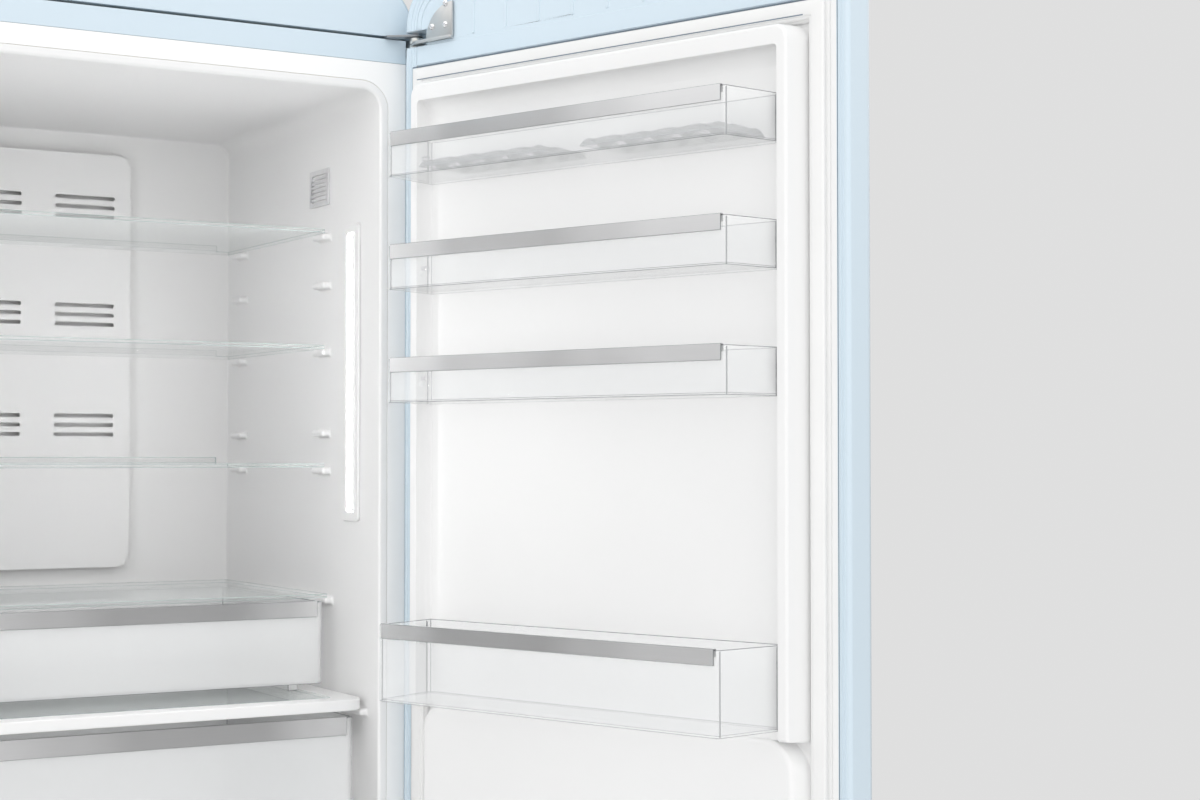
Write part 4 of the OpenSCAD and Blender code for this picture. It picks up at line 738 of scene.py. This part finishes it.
class REFRIGERATOR_OT_door_liners(RefrigeratorOperator, bpy.types.Operator):
    """Moulds the inner faces of both doors: rim, recess, lower panel and rack pegs"""

    bl_idname = "refrigerator.door_liners"
    bl_label = "Door Liners"

    # Lower and upper end, and corner radii above and below
    flange_half, flange_edge = 337.2, 0.8
    fridge_flange = (773.3, 1916.4, 1, 3)
    freezer_flange = (118.3, 720.7, 3, 3)
    # The same, then the depth of the face, and the drafts of sides and ends
    rim = (1083, 1888.4, 20, 4, 31, (4, 4))
    lower_panel = (812, 1088, 48, 14, 13, (12, 3))
    freezer_panel = (156, 684, 24, 24, 12, (12, 12))
    # Radii at the foot and along the crest of the two panels
    panel_edges = (4, 7)

    recess_half, recess_low, recess_top = 285.4, 1050, 1862.4
    # Depths of the recess's floor, of the rim's face and of the cutter's end; radius at that face
    recess_depths = (8, 31, 40)
    recess_lip = 1
    recess_corners = (5, 1)
    # Sides, then top: how far the floor is followed, the wall's draft and the radius at its foot
    recess_walls = ((20, 0.6, 5), (60, 1.2, 21))

    rack_tops = (1811, 1668.5, 1526, 1194)
    peg_drop = 30.3
    peg_place = (281.7, 22.0)
    peg_profile = ((2.0, 0.0), (3.4, 0.5), (4.0, 1.6), (4.0, 8.0))

    def flange(self, matrix, low, high, above, below):
        edge = self.flange_edge
        steps = ((edge, LINER_BACK), (0, LINER_BACK + edge), (0, DOOR_FACE - edge), (edge, DOOR_FACE))
        return lofted("flange", matrix, [
            outline(depth, self.flange_half - inset, low + inset, high - inset, above, below)
            for inset, depth in steps
        ])

    def recess(self, matrix):
        """The space that the rim stands around: crisp at the rim, swept up to it at the top."""
        floor, face, end = self.recess_depths
        side, top = (
            rounded([(run, floor), (draft, floor), (0, face), (0, end)], [foot, self.recess_lip])
            for run, draft, foot in self.recess_walls
        )
        return lofted("recess", matrix, [
            outline((across[1] + along[1]) / 2, self.recess_half - across[0], self.recess_low,
                    self.recess_top - along[0], *self.recess_corners)
            for across, along in zip(side[1:], top[1:])
        ])

    def pegs(self, work, matrix):
        """Round-ended studs on the rim's inner walls, which the racks' ears hang on."""
        reach, depth = self.peg_place
        for top in self.rack_tops:
            for side in (-1, 1):
                place = Matrix.Translation((side * reach, depth, top - self.peg_drop))
                turn = Matrix.Rotation(side * math.pi / 2, 4, "Y")
                revolve(work, matrix @ place @ turn, self.peg_profile, turns=16)

    def fridge_door(self, sizes):
        matrix = door_matrix("fridge")
        rim, panel = bmesh.new(), bmesh.new()
        raised_panel(rim, matrix, *self.rim, sizes.rim_cove / MM, sizes.rim_crest / MM)
        raised_panel(panel, matrix, *self.lower_panel, *self.panel_edges)
        self.pegs(panel, matrix)
        base = new_piece("fridge_door_liner_moulding", rim)
        combined(base, "DIFFERENCE", self.recess(matrix))
        combined(base, "UNION", self.flange(matrix, *self.fridge_flange), new_piece("panel", panel))
        show_for(even_shading(base), "White Liner", "fridge_door_liner")

    def freezer_door(self):
        matrix = door_matrix("freezer")
        panel = bmesh.new()
        raised_panel(panel, matrix, *self.freezer_panel, *self.panel_edges)
        base = new_piece("freezer_door_liner_moulding", panel)
        combined(base, "UNION", self.flange(matrix, *self.freezer_flange))
        show_for(even_shading(base), "White Liner", "freezer_door_liner")

    def execute(self, context):
        self.fridge_door(context.scene.refrigerator_sizes)
        self.freezer_door()
        return {"FINISHED"}


class REFRIGERATOR_OT_door_seals(RefrigeratorOperator, bpy.types.Operator):
    """Extrudes the doors' gaskets, with bellows, a magnet pocket and mitred corners"""

    bl_idname = "refrigerator.door_seals"
    bl_label = "Door Seals"

    seal_half, seal_corner = 329.0, 0.3
    # Distance in from the seal's outer edge, and depth behind the door's face
    section = (
        (0.6, 0.0), (0.0, 0.8), (0.2, 2.6), (1.6, 3.4), (3.4, 4.0), (4.6, 4.9), (4.4, 6.0), (2.9, 6.8),
        (2.2, 7.8), (2.2, 10.4), (2.9, 11.4), (4.2, 12.0), (17.6, 12.0), (19.0, 11.6), (19.6, 10.6),
        (20.2, 10.1), (21.4, 10.2), (22.6, 9.6), (23.4, 8.4), (23.7, 6.8), (24.3, 6.2), (25.2, 5.6),
        (25.9, 4.2), (26.0, 0.8), (25.4, 0.0),
    )
    # Each fold line's distance from the door's middle and half its width
    folds = ((341.2, 0.9), (345.0, 0.6))
    # Its section as shares of that half, and its heights with the share of the section there
    fold_section = ((-1.0, 0.0), (-0.7, 0.6), (0.0, 0.9), (0.7, 0.6), (1.0, 0.0))
    fold_ends = ((776.0, 0.3), (776.4, 1.0), (1939.6, 1.0), (1940.0, 0.3))
    # The groove shadow's depth, height and radius, and its ends: distance from the middle and share of the
    # radius
    cord = (10.2, 1894.8, 0.7)
    cord_ends = ((-307.0, 0.4), (-306.4, 1.0), (306.4, 1.0), (307.0, 0.4))
    seam_half, seam_bottom, seam_corners = 338.2, 0.6, (1.0, 3.0)
    # Depth, and share of the strip's own width
    seam_section = ((-12.6, 1.0), (-12.6, 0.0), (-11.9, 0.15), (-11.9, 0.85))

    def gasket(self, door, low, high):
        rings = [
            outline(DOOR_FACE + lift, self.seal_half - inset, low + inset, high - inset,
                    self.seal_corner, self.seal_corner, turns=1)
            for inset, lift in self.section
        ]
        name = f"{door}_door_gasket"
        show_for(lofted(f"{name}_extrusion", door_matrix(door), rings, wrapped=True), "Gasket", name)

    def fold_lines(self):
        """Fine raised lines down both sides of the fridge door's back, where its skin is folded over."""
        foot = DOOR_FACE - 0.1
        surfaces = [
            [[(side * (middle + x * half * reach), foot + y * reach, level) for x, y in self.fold_section]
             for level, reach in self.fold_ends]
            for side in (-1, 1) for middle, half in self.folds
        ]
        piece = lofted("fridge_door_fold_lines", door_matrix("fridge"), *surfaces)
        show(piece, "Blue Enamel", "fridge_door", "blue_enamel")

    def gasket_cord(self):
        """A thin dark rod in the groove along the top limb of the fridge door's gasket: painted shadow for
        the gap between the gasket's lip and the liner.
        """
        depth, middle, radius = self.cord
        rings = [
            [(x, depth + back, middle + up) for up, back, _ in circle(radius * reach, 0, turns=8)]
            for x, reach in self.cord_ends
        ]
        piece = lofted("fridge_door_gasket_cord", door_matrix("fridge"), rings)
        show(piece, "Seam Strip", "fridge_door", "gasket_white")

    def seam(self, door, low, high, top, sides):
        """A thin dark strip round a door liner, where it meets the skin: painted shadow for the gap there."""
        rings = [
            outline(depth, self.seam_half - sides * inward, low + self.seam_bottom * inward,
                    high - top * inward, *self.seam_corners, turns=4)
            for depth, inward in self.seam_section
        ]
        piece = lofted(f"{door}_door_seam", door_matrix(door), rings, wrapped=True)
        show(piece, "Seam Strip", f"{door}_door", "gasket_white")

    def execute(self, context):
        self.gasket("fridge", low=781.0, high=1915.4)
        self.gasket("freezer", low=125.0, high=715.0)
        self.fold_lines()
        self.gasket_cord()
        self.seam("fridge", low=772.6, high=1918.4, top=1.9, sides=1.0)
        self.seam("freezer", low=117.6, high=721.4, top=0.7, sides=0.7)
        return {"FINISHED"}


class REFRIGERATOR_OT_clear_mouldings(RefrigeratorOperator, bpy.types.Operator):
    """Rounds the racks, drawers, lids and shelves, and gives their edges the denser finish; the clear
    plastics' edges are dark with painted shade
    """

    bl_idname = "refrigerator.clear_mouldings"
    bl_label = "Clear Mouldings"

    drawers = (
        "chill_drawer", "crisper_drawer", "upper_freezer_drawer", "middle_freezer_drawer",
        "lower_freezer_drawer",
    )
    panes = ("upper_shelf", "middle_shelf", "lower_shelf", "chill_lid", "crisper_cover_glass")
    # Top, height of the walls and depth of the front of each rack
    racks = ((1808.0, 53.0, 95.5), (1665.5, 53.0, 95.5), (1523.0, 53.0, 95.5), (1191.0, 93.0, 108.5))
    # Half a rack's width at its back, how much narrower each side gets to the front, and its wall's thickness
    rack_half, rack_taper, rack_wall = 281.0, 14.0, 2.4
    # Depths of a rack's back and of the bead near it; a rack is this much shorter than its front bead is deep
    rack_back, back_bead, rack_short = 8.3, 19.0, 3.2
    bead_section = ((0, 0), (0, 1.1), (1, 0.8), (1, 0.3))
    # Share of the height down from the top, and how far the bead stands off there
    bead_levels = ((0.0, 0.6), (0.02, 1.6), (0.97, 1.6), (1.0, 1.2))

    def end_ribs(self, name, top, height, front):
        """Upright beads at the front corners and the back of a door rack, which stiffen its thin walls, drawn
        dark with the painted shade of the clear edges.
        """
        surfaces = []
        for side in (-1, 1):
            for depth in (self.back_bead, front):
                narrower = self.rack_taper * (depth - self.rack_back) / (front - self.rack_short)
                half = self.rack_half - narrower - self.rack_wall
                surfaces.append([
                    [(side * (half - off * x), depth + y, top - height * down) for x, y in self.bead_section]
                    for down, off in self.bead_levels
                ])
        piece = lofted(f"{name}_end_ribs", door_matrix("fridge"), *surfaces)
        show(piece, "Clear Edge", frame["nodes"][name]["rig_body"], "clear_plastic")

    def execute(self, context):
        edge = context.scene.refrigerator_sizes.clear_edge
        soften(RACKS, ("Clear Plastic", "Clear Edge"), edge, edge, steps=2)
        soften(self.drawers, ("Drawer Plastic", "Clear Edge"), edge, edge, steps=2)
        soften(self.panes, ("Shelf Glass", "Glass Edge"), edge, edge, steps=2)
        for name, measures in zip(RACKS, self.racks):
            self.end_ribs(name, *measures)
        return {"FINISHED"}


class REFRIGERATOR_OT_egg_trays(RefrigeratorOperator, bpy.types.Operator):
    """Moulds the two clear egg trays of the top rack"""

    bl_idname = "refrigerator.egg_trays"
    bl_label = "Egg Trays"

    cups = (5, 2)
    steps_per_cup = 10
    # The cups' spacing over the radius of a cup
    cup_narrowing = 2.15
    # Shares of the sheet's height: how deep the cups are, and where the sheet meets the tray's edge
    cup_depth, edge_height = 0.88, 0.35
    # Share of a cup's spacing over which the sheet runs out to that edge
    edge_run = 1 / 8
    floor_gap, top_gap, thickness = 1.2, 0.1, 1.1

    def sheet_height(self, across, along, height):
        """Height of the tray's sheet over its floor: round cups sunk between low saddles."""
        columns, rows = self.cups
        column = across * columns % 1.0 - 0.5
        row = along * rows % 1.0 - 0.5
        sunk = 0.5 + 0.5 * math.cos(min(math.hypot(column, row) * self.cup_narrowing, 1.0) * math.pi)
        edge = min(min(across, 1 - across) * columns, min(along, 1 - along) * rows) / self.edge_run
        wall = 1.0 - min(edge, 1.0)
        return height * (1.0 - self.cup_depth * sunk) * (1.0 - wall) + height * self.edge_height * wall

    def tray(self, low, high, matrix, name):
        counts = [cups * self.steps_per_cup for cups in self.cups]
        size = high - low
        height = size.z - self.floor_gap - self.top_gap
        work = bmesh.new()
        grid = []
        for row in range(counts[1] + 1):
            line = []
            for column in range(counts[0] + 1):
                across, along = column / counts[0], row / counts[1]
                level = self.floor_gap + self.sheet_height(across, along, height)
                line.append(work.verts.new(matrix @ (low + Vector((size.x * across, size.y * along, level)))))
            grid.append(line)
        for near, far in zip(grid, grid[1:]):
            for index in range(len(near) - 1):
                work.faces.new((near[index], near[index + 1], far[index + 1], far[index]))
        piece = new_piece(name, work)
        wall = piece.modifiers.new("Wall", "SOLIDIFY")
        wall.thickness = self.thickness * MM
        wall.offset = -1.0
        wall.material_offset_rim = 1
        return piece

    def execute(self, context):
        matrix = door_matrix("fridge")
        back = matrix.inverted()
        points = [back @ vertex.co for vertex in frame["nodes"]["egg_trays"].data.vertices]
        middle = sum(point.x for point in points) / len(points)
        for name, chosen in (
            ("left_egg_tray", [point for point in points if point.x > middle]),
            ("right_egg_tray", [point for point in points if point.x <= middle]),
        ):
            low, high = (Vector([extreme(axis) for axis in zip(*chosen)]) for extreme in (min, max))
            show_for(self.tray(low, high, matrix, name), ("Egg Tray Plastic", "Clear Edge"), "egg_trays")
        return {"FINISHED"}


class REFRIGERATOR_OT_metal_trims(RefrigeratorOperator, bpy.types.Operator):
    """Rounds the satin trims of the racks and drawers"""

    bl_idname = "refrigerator.metal_trims"
    bl_label = "Metal Trims"

    def execute(self, context):
        edge = context.scene.refrigerator_sizes.trim_edge
        soften([f"{rack}_trim" for rack in RACKS], ("Satin Trim", "Trim Edge"), edge, edge)
        soften(["chill_drawer_trim", "crisper_drawer_trim"], ("Drawer Trim", "Trim Edge"), edge, edge)
        return {"FINISHED"}


class REFRIGERATOR_OT_hinges(RefrigeratorOperator, bpy.types.Operator):
    """Shapes the door's hinge plate, link and cast barrel, fits its screws and lines its notch"""

    bl_idname = "refrigerator.hinges"
    bl_label = "Hinges"

    # The plate's square corner, and its radius about that corner
    corner = (262.0, 1947.4)
    plate_radius = 49.0
    plate_face = -9.0
    # Its rounded rim: distance in from the outline, and depth
    plate_rim = ((0.8, -12.0), (0.0, -11.4), (0.0, -9.9), (0.3, -9.3), (1.0, -9.0))
    plate_steps = 24
    # The hinge's axis, and the barrel's foot and profile
    axis = (345.0, -26.0)
    barrel_low = 1944.9
    barrel_profile = (
        (7.0, 0.0), (8.4, 0.4), (9.0, 1.4), (9.0, 5.0), (8.3, 6.0), (8.1, 7.2), (8.7, 8.4), (9.0, 10.0),
        (8.9, 13.2), (8.2, 14.6), (6.4, 15.2), (6.0, 15.2),
    )
    # Depths of the link's back and front; its corners about the hinge's axis, and the radii of its bends
    link_depths = (-11.0, -5.6)
    link_run, link_corners = -17, ((2, 9.2), (0, -7), (-25, -7))
    link_bends = (2.0, 12.0, 5.0, 6.0, 3.0, 3.0)
    # Its middle, and its rounded faces: share of the outline, and height over the plate's corner
    link_middle = (315.0, -14.0)
    link_levels = ((0.985, 0.0), (1.0, 0.7), (1.0, 3.2), (0.985, 3.9))
    # Each screw's place from the plate's corner; a head's profile as shares of its radius, and heights
    screws = ((12.5, 47.0), (12.5, 19.0), (37.0, 19.0))
    screw_profile = (
        (1.0, 0.0), (1.0, 0.5), (0.94, 0.9), (0.8, 1.6), (0.62, 2.1), (0.46, 2.3), (0.42, 2.2), (0.38, 1.0),
        (0.05, 0.8),
    )
    notch_low, notch_high = (312.3, -37.7, 1944.6), (352.6, -12.7, 1966.4)
    notch_wall = 0.4

    def plate(self, matrix):
        """A quarter disc with rounded edges."""
        left, low = self.corner
        rings = []
        for inset, depth in self.plate_rim:
            radius = self.plate_radius - inset
            least = math.asin(inset / radius)
            ring = [(left + inset, depth, low + inset)]
            for step in range(self.plate_steps + 1):
                angle = least + (math.pi / 2 - 2 * least) * step / self.plate_steps
                ring.append((left + radius * math.cos(angle), depth, low + radius * math.sin(angle)))
            rings.append(ring)
        show_for(lofted("hinge_plate", matrix, rings), "Hinge Nickel", "fridge_door_hinge_plate")

    def link(self, matrix):
        """The folded strip under the plate, which runs back to the barrel and round it."""
        left, low = self.corner
        x, y = self.axis
        behind, front = self.link_depths
        round_axis = [(x + aside, y + back) for aside, back in self.link_corners]
        line = rounded(
            [(left, behind), (left, front), (x + self.link_run, front), *round_axis,
             (round_axis[-1][0], behind), (left, behind)],
            self.link_bends, steps=6,
        )[:-1]
        middle = Vector(self.link_middle)
        piece = lofted("hinge_link", matrix, [
            [(*(middle + (point - middle) * scale), low + level) for point in line]
            for scale, level in self.link_levels
        ])
        show(piece, "Hinge Nickel", "fridge_door", "hinge_steel")

    def cast_barrel(self, matrix):
        work = bmesh.new()
        revolve(work, matrix @ Matrix.Translation((*self.axis, self.barrel_low)), self.barrel_profile)
        show(new_piece("hinge_barrel", work), "Cast Zinc", "fridge_door", "hinge_steel")

    def screw_heads(self, matrix, radius):
        """Domed heads with a washer rim and a round recess."""
        work = bmesh.new()
        profile = [(radius * part, height) for part, height in self.screw_profile]
        for x, z in self.screws:
            place = Matrix.Translation((self.corner[0] + x, self.plate_face - 0.1, self.corner[1] + z))
            revolve(work, matrix @ place @ Matrix.Rotation(-math.pi / 2, 4, "X"), profile, turns=24)
        show(new_piece("hinge_plate_screws", work), "Polished Chrome", "fridge_door", "hinge_steel")

    def notch_lining(self, matrix):
        """Thin moulded walls that close the foam off behind the hinge's notch in the door."""
        work = bmesh.new()
        corner = Vector(self.notch_low)
        size = Vector(self.notch_high) - corner
        wall = self.notch_wall
        for start, spread in (
            (corner, (size.x, wall, size.z)),
            (corner, (wall, size.y, size.z)),
            (corner, (size.x, size.y, wall)),
            (corner + Vector((0, 0, size.z - wall)), (size.x, size.y, wall)),
        ):
            for vert in bmesh.ops.create_cube(work, size=1.0)["verts"]:
                vert.co = matrix @ (start + (vert.co + Vector((0.5, 0.5, 0.5))) * Vector(spread))
        show(new_piece("hinge_notch_lining", work), "Blue Enamel", "fridge_door", "blue_enamel")

    def execute(self, context):
        # The hinge arms take the darker copy of the hinge metal, painted shade and reflection
        soften(["top_hinge", "middle_hinge"], "Hinge Steel", 0.7 * MM, 0.5 * MM)
        matrix = door_matrix("fridge")
        self.plate(matrix)
        self.link(matrix)
        self.cast_barrel(matrix)
        self.screw_heads(matrix, context.scene.refrigerator_sizes.screw_head / MM)
        self.notch_lining(matrix)
        return {"FINISHED"}


class REFRIGERATOR_OT_lamps_and_vent(RefrigeratorOperator, bpy.types.Operator):
    """Rounds the strip lamps' frames and lenses, the wall vent and the crisper's cover"""

    bl_idname = "refrigerator.lamps_and_vent"
    bl_label = "Lamps and Vent"

    def execute(self, context):
        soften(["led_housings"], "White Liner", 1.2 * MM, 0.4 * MM)
        soften(["led_lenses"], "Lamp Lens", 0.6 * MM)
        soften(["wall_vent"], "Grey Plastic", 0.5 * MM)
        soften(["crisper_cover_frame"], "White Liner", 2.0 * MM, 1.0 * MM)
        return {"FINISHED"}


class REFRIGERATOR_OT_handles(RefrigeratorOperator, bpy.types.Operator):
    """Rounds the feet of the chrome bar handles"""

    bl_idname = "refrigerator.handles"
    bl_label = "Handles"

    def execute(self, context):
        soften(["fridge_door_handle", "freezer_door_handle"], "Polished Chrome", 1.2 * MM, 0.8 * MM)
        return {"FINISHED"}


class REFRIGERATOR_OT_studio(RefrigeratorOperator, bpy.types.Operator):
    """Lays the floor, hangs the lamps and sets the camera"""

    bl_idname = "refrigerator.studio"
    bl_label = "Studio"

    # Name, place, what it aims at, width, and share of the key lamp's power
    lamps = (
        ("Key Lamp", (-2.6, -2.2, 2.3), (0.7, -0.3, 1.2), 2.4, 1.0),
        ("Top Lamp", (0.2, -0.6, 4.2), (0.3, 0.0, 1.0), 2.6, 0.5),
    )
    floor_drop = 0.4 * MM
    # Share of the backdrop's brightness that metal mirrors from below the horizon
    mirrored_ground = 0.62
    # Where the room turns from back to front, from left to right, and from ground to sky in metal
    to_front, to_right, to_sky = (0.55, -0.35), (-0.1, 0.9), (-0.05, 0.45)

    def execute(self, context):
        scene = context.scene
        studio = scene.refrigerator_studio
        self.floor(studio)
        self.room(scene, studio)
        for name, place, aim, size, power in self.lamps:
            lamp = bpy.data.lights.new(name, "AREA")
            lamp.energy = studio.key * power
            lamp.size = size
            hung = linked(name, lamp)
            hung.location = place
            hung.rotation_euler = (Vector(aim) - Vector(place)).to_track_quat("-Z", "Y").to_euler()
        self.camera(scene, studio)
        scene.view_settings.view_transform = "Standard"
        return {"FINISHED"}

    def floor(self, studio):
        lively("Studio Floor", studio.floor, 0.6, (0.01, 0.05), None, cloud_scale=1.0)
        work = bmesh.new()
        bmesh.ops.create_circle(work, cap_ends=True, segments=96, radius=studio.floor_radius)
        floor = new_piece("studio_floor", work)
        low, high = CAD_BOX
        floor.location = ((low.x + high.x) / 2, (low.y + high.y) / 2, low.z - self.floor_drop)
        paint(floor, "Studio Floor")

    def room(self, scene, studio):
        """A soft room: brighter in front, with a plain backdrop wherever it is seen or mirrored."""
        world = bpy.data.worlds.new("Studio Room")
        scene.world = world
        world.use_nodes = True
        world.node_tree.nodes.clear()
        wiring = Wiring(world.node_tree)
        direction = wiring.add("ShaderNodeTexCoord").outputs["Generated"]
        part = wiring.add("ShaderNodeSeparateXYZ", {0: direction}).outputs
        soft = {"interpolation_type": "SMOOTHSTEP"}
        light = wiring.remap(part["Y"], *self.to_front, studio.back, studio.front, **soft)
        side = wiring.remap(part["X"], *self.to_right, 1.0, studio.right_share, **soft)
        light = wiring.math("MULTIPLY", light, side)
        ground = studio.backdrop * self.mirrored_ground
        mirrored = wiring.remap(part["Z"], *self.to_sky, ground, studio.front, **soft)
        path = wiring.add("ShaderNodeLightPath").outputs
        seen = wiring.math("MAXIMUM", path["Is Camera Ray"], path["Is Transmission Ray"])
        level = wiring.math(
            "MULTIPLY_ADD", path["Is Glossy Ray"], wiring.math("SUBTRACT", mirrored, light), light
        )
        level = wiring.math("MULTIPLY_ADD", seen, wiring.math("SUBTRACT", studio.backdrop, level), level)
        background = wiring.add("ShaderNodeBackground", {"Color": WHITE, "Strength": level})
        output = wiring.add("ShaderNodeOutputWorld")
        wiring.feed(output.inputs["Surface"], background.outputs[0])

    def camera(self, scene, studio):
        made = bpy.data.cameras.new("Studio Camera")
        made.sensor_width = 36.0
        made.lens = studio.camera_lens
        made.clip_start = 0.05
        camera = linked("Studio Camera", made)
        camera.location = studio.camera_place
        camera.rotation_euler = studio.camera_turn
        scene.camera = camera


class REFRIGERATOR_PT_sidebar(bpy.types.Panel):
    """Lists the refrigerator's settings and the operators that build it"""

    bl_idname = "REFRIGERATOR_PT_sidebar"
    bl_label = "Refrigerator"
    bl_space_type = "VIEW_3D"
    bl_region_type = "UI"
    bl_category = "Refrigerator"

    def draw(self, context):
        for name, settings in SETTINGS:
            box = self.layout.box()
            for label in settings.__annotations__:
                box.prop(getattr(context.scene, name), label)
        for operator in OPERATORS:
            self.layout.operator(operator.bl_idname)


# The operators in the order they are written in, which is the order they run in
OPERATORS = tuple(RefrigeratorOperator.__subclasses__())
SETTINGS = (
    ("refrigerator_colours", RefrigeratorColours),
    ("refrigerator_sizes", RefrigeratorSizes),
    ("refrigerator_studio", RefrigeratorStudio),
)


def register():
    for name, settings in SETTINGS:
        bpy.utils.register_class(settings)
        setattr(bpy.types.Scene, name, bpy.props.PointerProperty(type=settings))
    for made in OPERATORS + (REFRIGERATOR_PT_sidebar,):
        bpy.utils.register_class(made)


def unregister():
    for made in (REFRIGERATOR_PT_sidebar,) + OPERATORS[::-1]:
        bpy.utils.unregister_class(made)
    for name, settings in reversed(SETTINGS):
        delattr(bpy.types.Scene, name)
        bpy.utils.unregister_class(settings)


def main():
    register()
    for operator in OPERATORS:
        family, action = operator.bl_idname.split(".")
        getattr(getattr(bpy.ops, family), action)()


if __name__ == "__main__":
    main()
